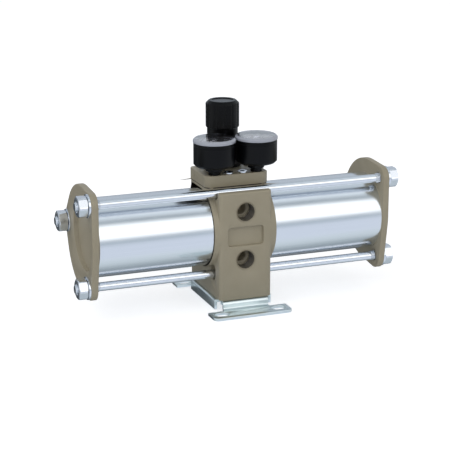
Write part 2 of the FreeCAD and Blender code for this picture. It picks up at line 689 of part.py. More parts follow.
def piston_nuts():
    """Nut that holds each piston on its tenon."""
    nuts = []
    for side in SIDES:
        seat = V(side * (PISTON_OUTER_X - NUT_POCKET_DEPTH), AXIS_Y, AXIS_Z)
        axis = X_AXIS * side
        nut = hexagon(PISTON_NUT_ACROSS_FLATS, seat, PISTON_NUT_HEIGHT, axis)
        nuts.append(nut.cut(rod_along(ROD_TENON_RADIUS, seat, PISTON_NUT_HEIGHT, axis)))
    return group(nuts)


def rod_seals():
    """Seal round the piston rod on each side of the body."""
    near = BOSS_FACE_X - ROD_SEAL_WIDTH
    return group([ring_x(ROD_SEAL_RADIUS, ROD_BORE_RADIUS, side * near, side * BOSS_FACE_X)
                  for side in SIDES])


def rod_bush():
    """Guide bush of the piston rod in the middle of the body."""
    return ring_x(ROD_SEAL_RADIUS, ROD_BORE_RADIUS, -ROD_BUSH_LENGTH / 2, ROD_BUSH_LENGTH / 2)


# Changeover valve

def spool():
    """Valve spool with three lands."""
    middle_land = SPOOL_LAND / 2
    end_land = SPOOL_HALF_LENGTH - SPOOL_LAND
    return turned_x([
        (-SPOOL_HALF_LENGTH, 0), (-SPOOL_HALF_LENGTH, SPOOL_RADIUS), (-end_land, SPOOL_RADIUS),
        (-end_land, SPOOL_WAIST_RADIUS), (-middle_land, SPOOL_WAIST_RADIUS), (-middle_land, SPOOL_RADIUS),
        (middle_land, SPOOL_RADIUS), (middle_land, SPOOL_WAIST_RADIUS), (end_land, SPOOL_WAIST_RADIUS),
        (end_land, SPOOL_RADIUS), (SPOOL_HALF_LENGTH, SPOOL_RADIUS), (SPOOL_HALF_LENGTH, 0)],
        SPOOL_Y, SPOOL_Z)


def push_rods():
    """Pins that stand out into both cylinders, where a piston pushes them in."""
    tip = BOSS_FACE_X + PUSH_ROD_REACH
    return group([rod_x(PUSH_ROD_RADIUS, side * SPOOL_HALF_LENGTH, side * tip, SPOOL_Y, SPOOL_Z)
                  for side in SIDES])


def spool_sleeve():
    """Sleeve that the spool slides in."""
    bore = SPOOL_RADIUS + RUNNING_CLEARANCE
    return ring_x(SLEEVE_RADIUS, bore, -SLEEVE_HALF_LENGTH, SLEEVE_HALF_LENGTH, SPOOL_Y, SPOOL_Z)


def spool_end_caps():
    """Caps that hold the sleeve and guide the push rods."""
    bore = PUSH_ROD_RADIUS + RUNNING_CLEARANCE
    return group([ring_x(SLEEVE_RADIUS, bore, side * SLEEVE_HALF_LENGTH, side * BOSS_FACE_X, SPOOL_Y, SPOOL_Z)
                  for side in SIDES])


# Check valves

def check_places():
    """Name, X, Y, seat height and opening direction of the four check valves."""
    upper_seat = CHECK_UPPER_BOTTOM + CHECK_SEAT_HEIGHT
    lower_seat = CHECK_LOWER_TOP - CHECK_SEAT_HEIGHT
    return [("upper_left", -CHECK_UPPER_X, CHECK_UPPER_Y, upper_seat, 1),
            ("upper_right", CHECK_UPPER_X, CHECK_UPPER_Y, upper_seat, 1),
            ("lower_left", -CHECK_LOWER_X, CHECK_LOWER_Y, lower_seat, -1),
            ("lower_right", CHECK_LOWER_X, CHECK_LOWER_Y, lower_seat, -1)]


def check_seats():
    """Seat rings pressed to the end of the check valve bores."""
    rings = []
    for name, x, y, seat, opening in check_places():
        low, high = sorted((seat, seat - opening * CHECK_SEAT_HEIGHT))
        rings.append(ring_z(CHECK_BORE_RADIUS, CHECK_SEAT_HOLE_RADIUS, low, high, x, y))
    return group(rings)


def check_poppet(x, y, seat, opening):
    """Disc with a stem that guides its spring."""
    axis = Z_AXIS * opening
    disc = rod_along(CHECK_DISC_RADIUS, V(x, y, seat), CHECK_DISC_HEIGHT, axis)
    stem = rod_along(CHECK_STEM_RADIUS, V(x, y, seat), CHECK_DISC_HEIGHT + CHECK_STEM_LENGTH, axis)
    return disc.fuse(stem)


def check_spring(x, y, seat, opening):
    """Light spring between the disc and the end of the bore."""
    near = seat + opening * CHECK_DISC_HEIGHT
    end = BODY_TOP if opening > 0 else BODY_BOTTOM + CHECK_PLUG_HEIGHT
    low, high = sorted((near, end))
    return spring(CHECK_SPRING_RADIUS, CHECK_WIRE_RADIUS, CHECK_SPRING_TURNS, low, high, x, y)


def check_plugs():
    """Screw plugs that close the two lower bores, with a hexagon socket each."""
    plugs = []
    for side in SIDES:
        x = side * CHECK_LOWER_X
        plug = rod_z(CHECK_BORE_RADIUS, BODY_BOTTOM, BODY_BOTTOM + CHECK_PLUG_HEIGHT, x, CHECK_LOWER_Y)
        mouth = V(x, CHECK_LOWER_Y, BODY_BOTTOM)
        plugs.append(plug.cut(hexagon(PLUG_SOCKET_ACROSS_FLATS, mouth, PLUG_SOCKET_DEPTH, Z_AXIS)))
    return group(plugs)


# Regulator

def block_screw_places():
    """X and Y of the screws that hold the regulator block."""
    rear = [(side * (BLOCK_WIDTH / 2 - BLOCK_SCREW_REAR_EDGE), BLOCK_SCREW_REAR_Y) for side in SIDES]
    front = [(side * BLOCK_SCREW_FRONT_X, BLOCK_SCREW_FRONT_Y) for side in SIDES]
    return rear + front


def gauge_places():
    """X of the left and the right gauge."""
    return {"left": -GAUGE_SPACING / 2, "right": GAUGE_SPACING / 2}


def regulator_block():
    """Low block with a round boss under the bonnet."""
    half = BLOCK_WIDTH / 2
    shape = bevelled_plan(half, BLOCK_BOTTOM, BLOCK_TOP)
    shape = shape.fuse(rod_z(BLOCK_BOSS_RADIUS, BLOCK_BOTTOM, BLOCK_TOP, 0, REGULATOR_Y)).removeSplitter()
    shape = rounded_edges(shape, BLOCK_EDGE_RADIUS, lambda edge: edge.BoundBox.ZMin > BLOCK_TOP - 0.01)
    shape = shape.cut(rod_z(CHAMBER_RADIUS, BLOCK_TOP - CHAMBER_DEPTH, BLOCK_TOP, 0, REGULATOR_Y))
    shape = shape.cut(rod_z(VALVE_SEAT_HOLE_RADIUS, BLOCK_BOTTOM, BLOCK_TOP, 0, REGULATOR_Y))
    slot_top = BLOCK_TOP - BLOCK_SLOT_DROP
    shape = shape.cut(block(-half, BLOCK_SLOT_DEPTH - half, BLOCK_SLOT_Y - BLOCK_SLOT_WIDTH / 2,
                            BLOCK_SLOT_Y + BLOCK_SLOT_WIDTH / 2, slot_top - BLOCK_SLOT_HEIGHT, slot_top))
    for x in gauge_places().values():
        shape = shape.cut(rod_z(STEM_RADIUS, BLOCK_TOP - STEM_THREAD_DEPTH, BLOCK_TOP, x, GAUGE_Y))
    sunk = BLOCK_TOP - BLOCK_SCREW_SUNK
    for x, y in block_screw_places():
        shape = shape.cut(rod_z(BLOCK_SCREW_RADIUS, BLOCK_BOTTOM, sunk, x, y))
        shape = shape.cut(rod_z(BLOCK_SCREW_HEAD_RADIUS + SEAT_CLEARANCE, sunk, BLOCK_TOP, x, y))
    return shape


def regulator_gasket():
    """Sheet gasket between the block and the body's pad."""
    sheet = bevelled_plan(FLANGE_FACE_X, BODY_TOP, BLOCK_BOTTOM)
    sheet = sheet.fuse(rod_z(BLOCK_BOSS_RADIUS - SEAT_CLEARANCE, BODY_TOP, BLOCK_BOTTOM, 0, REGULATOR_Y))
    sheet = sheet.cut(rod_z(VALVE_SEAT_HOLE_RADIUS, BODY_TOP, BLOCK_BOTTOM, 0, REGULATOR_Y))
    for x, y in block_screw_places():
        sheet = sheet.cut(rod_z(BLOCK_SCREW_RADIUS, BODY_TOP, BLOCK_BOTTOM, x, y))
    return sheet


def regulator_screws():
    """Socket head screws of the regulator block."""
    screws = []
    for x, y in block_screw_places():
        seat = BLOCK_TOP - BLOCK_SCREW_SUNK
        shank = rod_z(BLOCK_SCREW_RADIUS, BODY_TOP - BLOCK_SCREW_GRIP, seat, x, y)
        head = rod_z(BLOCK_SCREW_HEAD_RADIUS, seat, seat + BLOCK_SCREW_HEAD_HEIGHT, x, y)
        socket_start = V(x, y, seat + BLOCK_SCREW_HEAD_HEIGHT / 2)
        socket = hexagon(BLOCK_SCREW_HEAD_RADIUS, socket_start, BLOCK_SCREW_HEAD_HEIGHT / 2, Z_AXIS)
        screws.append(shank.fuse(head).cut(socket))
    return group(screws)


def regulator_bonnet():
    """Spring housing with a flange below and the neck that the knob turns on."""
    inside = BONNET_RADIUS - BONNET_WALL
    hole = SPINDLE_RADIUS + RUNNING_CLEARANCE
    flange_top = BONNET_BOTTOM + BONNET_FLANGE_HEIGHT
    shape = turned_z([
        (inside, BONNET_BOTTOM), (BONNET_FLANGE_RADIUS, BONNET_BOTTOM), (BONNET_FLANGE_RADIUS, flange_top),
        (BONNET_RADIUS, flange_top + 1.5), (BONNET_RADIUS, BONNET_SHOULDER_Z),
        (BONNET_NECK_RADIUS, BONNET_SHOULDER_Z), (BONNET_NECK_RADIUS, BONNET_NECK_TOP_Z),
        (hole, BONNET_NECK_TOP_Z), (hole, BONNET_CEILING_Z),
        (BONNET_NECK_RADIUS - BONNET_WALL, BONNET_CEILING_Z),
        (BONNET_NECK_RADIUS - BONNET_WALL, BONNET_SHOULDER_Z), (inside, BONNET_SHOULDER_Z - BONNET_WALL)],
        0, REGULATOR_Y)
    keyway = NUT_KEY_WIDTH / 2 + SPRING_NUT_GAP
    reach = inside + NUT_KEY_DEPTH
    ways = block(-keyway, keyway, REGULATOR_Y - reach, REGULATOR_Y + reach, SPRING_PLATE_TOP,
                 BONNET_SHOULDER_Z - BONNET_WALL)
    return shape.cut(ways)


def spring_nut():
    """Nut on the spindle that presses the spring, keyed in the bonnet."""
    radius = BONNET_RADIUS - BONNET_WALL - SPRING_NUT_GAP
    key_reach = radius + NUT_KEY_DEPTH
    half_key = NUT_KEY_WIDTH / 2
    disc_top = SPRING_NUT_BOTTOM + SPRING_NUT_HEIGHT / 2
    disc = rod_z(radius, SPRING_NUT_BOTTOM, disc_top, 0, REGULATOR_Y)
    hub = rod_z(SPINDLE_COLLAR_RADIUS, SPRING_NUT_BOTTOM, SPRING_NUT_TOP_Z, 0, REGULATOR_Y)
    keys = block(-half_key, half_key, REGULATOR_Y - key_reach, REGULATOR_Y + key_reach,
                 SPRING_NUT_BOTTOM, disc_top)
    hole = rod_z(SPINDLE_RADIUS + RUNNING_CLEARANCE, SPRING_NUT_BOTTOM, SPRING_NUT_TOP_Z, 0, REGULATOR_Y)
    return disc.fuse([hub, keys]).cut(hole)


def adjusting_spindle():
    """Screw under the knob, with the collar that the bonnet holds down."""
    collar_top = BONNET_CEILING_Z - SPINDLE_COLLAR_GAP
    shaft = rod_z(SPINDLE_RADIUS, SPINDLE_BOTTOM_Z, SPINDLE_TOP_Z, 0, REGULATOR_Y)
    collar_bottom = collar_top - SPINDLE_COLLAR_HEIGHT
    return shaft.fuse(rod_z(SPINDLE_COLLAR_RADIUS, collar_bottom, collar_top, 0, REGULATOR_Y))


def adjusting_spring():
    """Strong spring between the spring plate and the spring nut."""
    return spring(ADJUSTING_SPRING_RADIUS, ADJUSTING_WIRE_RADIUS, ADJUSTING_SPRING_TURNS,
                  SPRING_PLATE_TOP, SPRING_NUT_BOTTOM, 0, REGULATOR_Y)


def diaphragm():
    """Rubber disc clamped between the block and the bonnet."""
    return rod_z(DIAPHRAGM_RADIUS, BLOCK_TOP, BONNET_BOTTOM, 0, REGULATOR_Y)


def spring_plate():
    """Plate on the diaphragm that carries the adjusting spring."""
    return rod_z(SPRING_PLATE_RADIUS, BONNET_BOTTOM, SPRING_PLATE_TOP, 0, REGULATOR_Y)


def valve_seat():
    """Seat ring at the top of the regulator's valve bore."""
    return ring_z(VALVE_BORE_RADIUS, VALVE_SEAT_HOLE_RADIUS, VALVE_SEAT_BOTTOM, BODY_TOP, 0, REGULATOR_Y)


def valve_poppet():
    """Valve head with the stem that reaches up to the diaphragm."""
    head = rod_z(VALVE_HEAD_RADIUS, VALVE_HEAD_BOTTOM, VALVE_SEAT_BOTTOM, 0, REGULATOR_Y)
    return head.fuse(rod_z(VALVE_STEM_RADIUS, VALVE_HEAD_BOTTOM, BLOCK_TOP, 0, REGULATOR_Y))


def valve_spring():
    """Return spring under the valve head."""
    return spring(VALVE_SPRING_RADIUS, VALVE_WIRE_RADIUS, VALVE_SPRING_TURNS,
                  VALVE_BORE_BOTTOM_Z, VALVE_HEAD_BOTTOM, 0, REGULATOR_Y)


def knob():
    """Pull-to-turn knob with a fluted grip, a bevelled top and a narrower skirt."""
    cavity = BONNET_NECK_RADIUS + KNOB_CAVITY_GAP
    socket = SPINDLE_RADIUS + RUNNING_CLEARANCE
    cap_floor = KNOB_TOP_Z - KNOB_CAP_SUNK - KNOB_CAP_THICKNESS
    socket_top = SPINDLE_TOP_Z + KNOB_CAVITY_GAP
    cavity_top = BONNET_NECK_TOP_Z + KNOB_CAVITY_ROOM
    grip_bottom = KNOB_BOTTOM_Z + KNOB_SKIRT_HEIGHT
    shape = turned_z([
        (cavity, KNOB_BOTTOM_Z), (KNOB_SKIRT_RADIUS - KNOB_SKIRT_CHAMFER / 2, KNOB_BOTTOM_Z),
        (KNOB_SKIRT_RADIUS, KNOB_BOTTOM_Z + KNOB_SKIRT_CHAMFER), (KNOB_SKIRT_RADIUS, grip_bottom),
        (KNOB_RADIUS, grip_bottom + KNOB_SKIRT_CHAMFER), (KNOB_RADIUS, KNOB_TOP_Z - KNOB_BEVEL_HEIGHT),
        (KNOB_TOP_RADIUS, KNOB_TOP_Z), (KNOB_CAP_RADIUS, KNOB_TOP_Z), (KNOB_CAP_RADIUS, cap_floor),
        (0, cap_floor), (0, socket_top), (socket, socket_top), (socket, cavity_top),
        (cavity, cavity_top)], 0, REGULATOR_Y)
    flutes = []
    reach = KNOB_RADIUS + KNOB_FLUTE_RADIUS - KNOB_FLUTE_DEPTH
    for step in range(KNOB_FLUTES):
        turn = 2 * math.pi * (step + 0.5) / KNOB_FLUTES
        x = reach * math.cos(turn)
        y = REGULATOR_Y + reach * math.sin(turn)
        flutes.append(rod_z(KNOB_FLUTE_RADIUS, grip_bottom, KNOB_TOP_Z, x, y))
    return shape.cut(flutes)


def knob_cap():
    """Disc let into the knob's top."""
    top = KNOB_TOP_Z - KNOB_CAP_SUNK
    return rod_z(KNOB_CAP_RADIUS, top - KNOB_CAP_THICKNESS, top, 0, REGULATOR_Y)


# Gauges

def gauge_stem(x):
    """Adapter with a hexagon, screwed into the block, and the socket inside the case."""
    hex_bottom = GAUGE_BOTTOM_Z - STEM_HEX_HEIGHT
    socket_top = GAUGE_BOTTOM_Z + GAUGE_WALL + STEM_SOCKET_HEIGHT
    shape = rod_z(STEM_RADIUS, BLOCK_TOP - STEM_THREAD_DEPTH, socket_top, x, GAUGE_Y)
    start = V(x, GAUGE_Y, hex_bottom)
    hex_part = hex_with_chamfer(STEM_HEX_ACROSS_FLATS, start, STEM_HEX_HEIGHT, Z_AXIS, "low")
    bore = rod_z(STEM_BORE_RADIUS, BLOCK_TOP - STEM_THREAD_DEPTH, socket_top - 1, x, GAUGE_Y)
    return shape.fuse(hex_part).cut(bore)


def gauge_case(x):
    """Moulded cup with a bevelled bottom edge."""
    bevel_z = GAUGE_BOTTOM_Z + GAUGE_BOTTOM_CHAMFER
    floor = GAUGE_BOTTOM_Z + GAUGE_WALL
    inside = GAUGE_RADIUS - GAUGE_WALL
    shelf = DIAL_TOP_Z - DIAL_THICKNESS
    return turned_z([
        (STEM_RADIUS, GAUGE_BOTTOM_Z), (GAUGE_RADIUS - GAUGE_BOTTOM_CHAMFER, GAUGE_BOTTOM_Z),
        (GAUGE_RADIUS, bevel_z), (GAUGE_RADIUS, GAUGE_CASE_TOP_Z), (inside, GAUGE_CASE_TOP_Z),
        (inside, shelf), (inside - 1, shelf), (inside - 1, bevel_z),
        (inside - GAUGE_BOTTOM_CHAMFER, floor), (STEM_RADIUS, floor)], x, GAUGE_Y)


def gauge_dial(x):
    """Round dial plate on the case's shelf."""
    radius = GAUGE_RADIUS - GAUGE_WALL - SEAT_CLEARANCE
    return ring_z(radius, DIAL_HOLE_RADIUS, DIAL_TOP_Z - DIAL_THICKNESS, DIAL_TOP_Z, x, GAUGE_Y)


def gauge_pointer(x):
    """Needle at zero with its hub and the arbor through the dial."""
    low = DIAL_TOP_Z + POINTER_LIFT
    high = low + POINTER_THICKNESS
    zero = FreeCAD.Rotation(Z_AXIS, 225)
    outline = [(POINTER_LENGTH, 0), (0, POINTER_HALF_WIDTH), (-POINTER_TAIL, POINTER_HALF_WIDTH),
               (-POINTER_TAIL, -POINTER_HALF_WIDTH), (0, -POINTER_HALF_WIDTH)]
    points = [V(x, GAUGE_Y, low) + zero.multVec(V(along, across, 0)) for along, across in outline]
    needle = Part.Face(Part.makePolygon(points + points[:1])).extrude(V(0, 0, high - low))
    hub = rod_z(POINTER_HUB_RADIUS, low, high + POINTER_LIFT, x, GAUGE_Y)
    arbor = rod_z(ARBOR_RADIUS, DIAL_TOP_Z - ARBOR_LENGTH, high, x, GAUGE_Y)
    return needle.fuse([hub, arbor])


def gauge_cover(x):
    """Clear cover snapped on the case, slightly crowned."""
    top = GAUGE_CASE_TOP_Z + GAUGE_COVER_HEIGHT
    edge = top - GAUGE_COVER_LIP
    inside = GAUGE_COVER_RADIUS - GAUGE_COVER_WALL - 1
    under = top - GAUGE_COVER_WALL
    return turned_z([
        (inside, GAUGE_CASE_TOP_Z), (GAUGE_COVER_RADIUS, GAUGE_CASE_TOP_Z), (GAUGE_COVER_RADIUS, edge),
        (GAUGE_COVER_RADIUS - GAUGE_COVER_LIP, top), (0, top), (0, under), (inside, under)], x, GAUGE_Y)


def bourdon_tube(x):
    """C-shaped pressure tube inside the case, on the socket."""
    z = GAUGE_BOTTOM_Z + GAUGE_WALL + STEM_SOCKET_HEIGHT + BOURDON_TUBE_RADIUS
    centre = V(x, GAUGE_Y, z)
    ring = Part.makeTorus(BOURDON_RING_RADIUS, BOURDON_TUBE_RADIUS, centre, Z_AXIS, 0, 360, BOURDON_SWEEP)
    root = rod_z(BOURDON_TUBE_RADIUS, z - BOURDON_TUBE_RADIUS, z, x, GAUGE_Y)
    feed = Part.makeCylinder(BOURDON_TUBE_RADIUS, BOURDON_RING_RADIUS, centre, X_AXIS)
    return ring.fuse([root, feed])


# Foot bracket

def bracket_screw_places():
    """X and Y of the screws that hold the bracket under the body."""
    return [(side_x * BRACKET_SCREW_X, side_y * BRACKET_SCREW_Y) for side_x in SIDES for side_y in SIDES]


def foot_bracket():
    """Folded plate: a seat under the body, two walls out to the feet and two side flanges."""
    half_foot = FOOT_WIDTH / 2
    wall_y = -BODY_FRONT_Y
    half_wall = BODY_SIDE_X - CORNER_RELIEF
    outline = [(-FOOT_DEPTH / 2, 0), (-wall_y + PLATE, 0), (-wall_y + PLATE, BRACKET_TOP_UNDERSIDE),
               (wall_y - PLATE, BRACKET_TOP_UNDERSIDE), (wall_y - PLATE, 0), (FOOT_DEPTH / 2, 0),
               (FOOT_DEPTH / 2, PLATE), (wall_y, PLATE), (wall_y, BODY_BOTTOM), (-wall_y, BODY_BOTTOM),
               (-wall_y, PLATE), (-FOOT_DEPTH / 2, PLATE)]
    points = [V(-half_foot, y, z) for y, z in outline]
    shape = Part.Face(Part.makePolygon(points + points[:1])).extrude(X_AXIS * FOOT_WIDTH)

    def bend(edge, y, z):
        place = edge.CenterOfMass
        return edge_along(edge, X_AXIS) and abs(abs(place.y) - y) < 0.01 and abs(place.z - z) < 0.01

    inner = [(wall_y - PLATE, BRACKET_TOP_UNDERSIDE), (wall_y, PLATE)]
    outer = [(wall_y, BODY_BOTTOM), (wall_y - PLATE, 0)]
    for places, radius in ((inner, BEND_RADIUS), (outer, BEND_RADIUS + PLATE)):
        for y, z in places:
            shape = rounded_edges(shape, radius, lambda edge: bend(edge, y, z))
    for side in SIDES:
        x_from, x_to = sorted((side * half_wall, side * half_foot))
        reach = wall_y + CORNER_RELIEF
        shape = shape.cut(block(x_from, x_to, -reach, reach, -PLATE, BODY_BOTTOM))
        shape = shape.fuse(side_flange(side, half_wall, wall_y - BEND_RADIUS - PLATE - CORNER_RELIEF))
    feet = [edge for edge in shape.Edges if is_foot_corner(edge)]
    shape = shape.makeFillet(FOOT_CORNER_RADIUS, feet)
    for x in (-SLOT_SPACING_X / 2, SLOT_SPACING_X / 2):
        for y in (-SLOT_SPACING_Y / 2, SLOT_SPACING_Y / 2):
            shape = shape.cut(slot_z(SLOT_LENGTH, SLOT_WIDTH, -PLATE, 2 * PLATE, x, y))
    for x, y in bracket_screw_places():
        shape = shape.cut(rod_z(BRACKET_SCREW_RADIUS + SEAT_CLEARANCE, 0, BODY_BOTTOM, x, y))
    return shape


def side_flange(side, inner_x, half_length):
    """Edge of the bracket's seat, folded down beside the body."""
    outer_x = BODY_SIDE_X + FLANGE_OVERHANG
    low = BODY_BOTTOM - FLANGE_DROP
    outline = [(inner_x - PLATE, BODY_BOTTOM), (outer_x, BODY_BOTTOM), (outer_x, low), (outer_x - PLATE, low),
               (outer_x - PLATE, BRACKET_TOP_UNDERSIDE), (inner_x - PLATE, BRACKET_TOP_UNDERSIDE)]
    points = [V(side * x, -half_length, z) for x, z in outline]
    shape = Part.Face(Part.makePolygon(points + points[:1])).extrude(V(0, 2 * half_length, 0))

    def outer_fold(edge):
        place = edge.CenterOfMass
        return abs(abs(place.x) - outer_x) < 0.01 and abs(place.z - BODY_BOTTOM) < 0.01

    return rounded_edges(shape, BEND_RADIUS, lambda edge: edge_along(edge, V(0, 1, 0)) and outer_fold(edge))


def is_foot_corner(edge):
    """True for the upright edges at the outer corners of the feet."""
    place = edge.CenterOfMass
    at_corner = abs(abs(place.x) - FOOT_WIDTH / 2) < 0.01 and abs(abs(place.y) - FOOT_DEPTH / 2) < 0.01
    return at_corner and edge_along(edge, Z_AXIS)


def bracket_screws():
    """Hexagon head screws from below into the body."""
    screws = []
    for x, y in bracket_screw_places():
        head_bottom = V(x, y, BRACKET_TOP_UNDERSIDE - BRACKET_SCREW_HEAD)
        head = hex_with_chamfer(BRACKET_SCREW_ACROSS_FLATS, head_bottom, BRACKET_SCREW_HEAD, Z_AXIS, "low")
        shank = rod_z(BRACKET_SCREW_RADIUS, BRACKET_TOP_UNDERSIDE, BODY_BOTTOM + BRACKET_SCREW_GRIP, x, y)
        screws.append(head.fuse(shank))
    return group(screws)


def all_pieces():
    """Every piece of the booster by name."""
    pieces = {
        "centre_body": centre_body(), "foot_bracket": foot_bracket(), "bracket_screws": bracket_screws(),
        "right_cover": right_cover(), "left_cover": mirrored(right_cover()),
        "left_tube": tube(-1), "right_tube": tube(1), "tube_seals": tube_seals(),
        "tie_rod_washers": tie_rod_washers(), "tie_rod_nuts": tie_rod_nuts(),
        "right_piston": right_piston(), "left_piston": mirrored(right_piston()), "piston_rod": piston_rod(),
        "piston_seals": piston_seals(), "piston_wear_rings": piston_wear_rings(),
        "piston_nuts": piston_nuts(), "rod_seals": rod_seals(), "rod_bush": rod_bush(),
        "spool": spool(), "push_rods": push_rods(), "spool_sleeve": spool_sleeve(),
        "spool_end_caps": spool_end_caps(), "check_seats": check_seats(), "check_plugs": check_plugs(),
        "regulator_gasket": regulator_gasket(), "regulator_block": regulator_block(),
        "regulator_screws": regulator_screws(), "regulator_bonnet": regulator_bonnet(),
        "diaphragm": diaphragm(), "spring_plate": spring_plate(), "adjusting_spring": adjusting_spring(),
        "spring_nut": spring_nut(), "adjusting_spindle": adjusting_spindle(), "valve_seat": valve_seat(),
        "valve_poppet": valve_poppet(), "valve_spring": valve_spring(),
        "knob": knob(), "knob_cap": knob_cap()}
    for name, (y, z) in RODS.items():
        pieces[name] = tie_rod(y, z)
    for name, x, y, seat, opening in check_places():
        pieces["check_poppet_" + name] = check_poppet(x, y, seat, opening)
        pieces["check_spring_" + name] = check_spring(x, y, seat, opening)
    for name, x in gauge_places().items():
        pieces[name + "_gauge_case"] = gauge_case(x)
        pieces[name + "_gauge_stem"] = gauge_stem(x)
        pieces[name + "_gauge_dial"] = gauge_dial(x)
        pieces[name + "_gauge_pointer"] = gauge_pointer(x)
        pieces[name + "_gauge_cover"] = gauge_cover(x)
    pieces["bourdon_tubes"] = group([bourdon_tube(x) for x in gauge_places().values()])
    return pieces


os.makedirs("parts", exist_ok=True)
for piece_name, piece_shape in all_pieces().items():
    print(piece_name, piece_shape.isValid(), len(piece_shape.Solids), round(piece_shape.Volume, 1))
    piece_shape.exportStep(os.path.join("parts", piece_name + ".step"))
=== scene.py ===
"""Looks of the air pressure booster: camera, light, finishes and the pieces that are seen."""
import json
import math

import bmesh
import bpy
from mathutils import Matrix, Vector


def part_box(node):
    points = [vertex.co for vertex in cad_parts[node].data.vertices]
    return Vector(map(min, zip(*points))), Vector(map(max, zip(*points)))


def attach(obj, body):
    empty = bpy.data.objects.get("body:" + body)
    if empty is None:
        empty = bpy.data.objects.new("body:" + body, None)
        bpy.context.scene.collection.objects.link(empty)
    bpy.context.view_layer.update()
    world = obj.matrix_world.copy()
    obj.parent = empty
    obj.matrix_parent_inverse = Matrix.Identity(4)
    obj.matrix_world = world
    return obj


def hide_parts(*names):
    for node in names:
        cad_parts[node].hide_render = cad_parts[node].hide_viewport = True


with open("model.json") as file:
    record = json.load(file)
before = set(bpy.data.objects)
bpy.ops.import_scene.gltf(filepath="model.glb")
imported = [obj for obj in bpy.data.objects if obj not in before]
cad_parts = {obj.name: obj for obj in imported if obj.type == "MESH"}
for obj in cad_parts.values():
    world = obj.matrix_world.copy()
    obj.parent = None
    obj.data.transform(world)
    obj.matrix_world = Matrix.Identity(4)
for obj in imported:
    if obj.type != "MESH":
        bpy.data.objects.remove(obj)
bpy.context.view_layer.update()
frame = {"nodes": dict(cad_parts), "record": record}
nodes = frame["nodes"]

MM = 0.001
X = Vector((1, 0, 0))
Y = Vector((0, 1, 0))
Z = Vector((0, 0, 1))
SIDES = {"left": -1, "right": 1}

# Camera, fitted to the tubes, the ports and the feet
CAMERA_AZIMUTH = math.radians(-20.88)
CAMERA_ELEVATION = math.radians(15.98)
CAMERA_TARGET = Vector((-5.9, -2.0, 68.57)) * MM
CAMERA_DISTANCE = 1383.8 * MM
CAMERA_LENS = 124.71
CAMERA_SENSOR = 36.0

# Light
FRONT_LIGHT = 9.5
LEFT_LIGHT = 6.0
REAR_LIGHT = 6.0
ROOM_LEVEL = 0.45
FLOOR_REACH = 6.0
FLOOR_LIFT = 0.56

# What polished metal mirrors: degrees up from the front, round the length of the tubes, shade and strength
STUDIO = (
    (-180, "#9AA2A8", 0.6), (-163, "#7C848A", 0.35), (-140, "#8C949A", 0.45), (-122, "#B4BCC2", 0.65),
    (-104, "#B6C0C8", 0.65), (-90, "#BECAD2", 0.75), (-70, "#DAE4EA", 0.95), (-58, "#E0E9F0", 1.0),
    (-45, "#E2E9F6", 1.0), (-14, "#E2E9F6", 1.0), (-6, "#CCD8E4", 0.8), (2, "#CED8E2", 0.85), (9, "#FFFFFF", 1.5),
    (42, "#FFFFFF", 1.5), (50, "#CCD6DE", 0.85), (57, "#B4BEC6", 0.7), (64, "#DCE4EA", 1.1), (76, "#E6EEF4", 1.2),
    (86, "#C4CED6", 0.75), (96, "#D8E2EA", 1.0), (125, "#C8D2DA", 0.8), (150, "#D6DEE8", 0.85), (180, "#C6D0DC", 0.8))
STUDIO_END = "#E4EAF0"
STUDIO_END_FROM = 0.55
STUDIO_END_TO = 0.97

# Turned and cut edges
FINE_EDGE = 0.25 * MM
SHEET_EDGE = 0.35 * MM
CAST_EDGE = 0.7 * MM
ROUND_STEPS = 144
SMOOTH_ANGLE = math.radians(32)

# Tubes and tie rods
TUBE_WALL = 3.1 * MM
ROD_CHAMFER = 0.8 * MM
ROD_THREAD_LENGTH = 22.0 * MM
ROD_THREAD_PITCH = 1.25 * MM
ROD_THREAD_DEPTH = 0.6 * MM
ROD_SHANK_STEP = 0.45 * MM
ROD_HOLE = 4.35 * MM
THREAD_RINGS_PER_TURN = 8

# Covers
SEAT_TRIM = 4.0 * MM
COVER_SHAVE = 0.02 * MM
COVER_REACH = 80.0 * MM

# Nuts
NUT_ACROSS_FLATS = 17.0 * MM
NUT_FACE_RADIUS = 7.9 * MM
NUT_CORNER = 0.25 * MM
NUT_MOUTH = 0.7 * MM

# Ports
PORT_RADIUS = 7.6 * MM
PORT_THREAD_ROOM = 8.4 * MM
PORT_THREAD_PITCH = 1.34 * MM
PORT_THREAD_DEPTH = 0.7 * MM
PORT_THREAD_LENGTH = 12.5 * MM
PORT_CHAMFER = 0.9 * MM
PORTS = ("lower_port", "upper_port", "exhaust_port")

# Knob
KNOB_FLUTES = 12
KNOB_FLUTE_DEPTH = 0.6 * MM
KNOB_FLUTE_SHARE = 0.34
KNOB_CAVITY = 12.5 * MM
KNOB_SKIRT_HEIGHT = 6.6 * MM
KNOB_SKIRT_STEP = 1.2 * MM
KNOB_TOP_RADIUS = 12.2 * MM
KNOB_BEVEL_HEIGHT = 2.6 * MM
CAP_GAP = 0.12 * MM

# Gauges
CASE_WALL = 1.6 * MM
CASE_BEVEL = 2.0 * MM
CASE_GROOVE_DROP = 2.8 * MM
CASE_GROOVE = 0.25 * MM
STEM_RADIUS = 5.0 * MM
WINDOW_THICKNESS = 1.5 * MM
WINDOW_LIP = 1.6 * MM
RIM_WALL = 2.5 * MM
PRINT_THICKNESS = 0.05 * MM
DIAL_HOLE = 1.2 * MM
DIAL_START = math.radians(225)
DIAL_SWEEP = math.radians(270)
DIAL_STEPS = 5
TICKS_PER_STEP = 10
SCALE_RADIUS = 14.6 * MM
LONG_TICK = 2.4 * MM
SHORT_TICK = 1.3 * MM
TICK_WIDTH = 0.3 * MM
NUMBER_RADIUS = 9.6 * MM
NUMBER_HEIGHT = 3.4 * MM


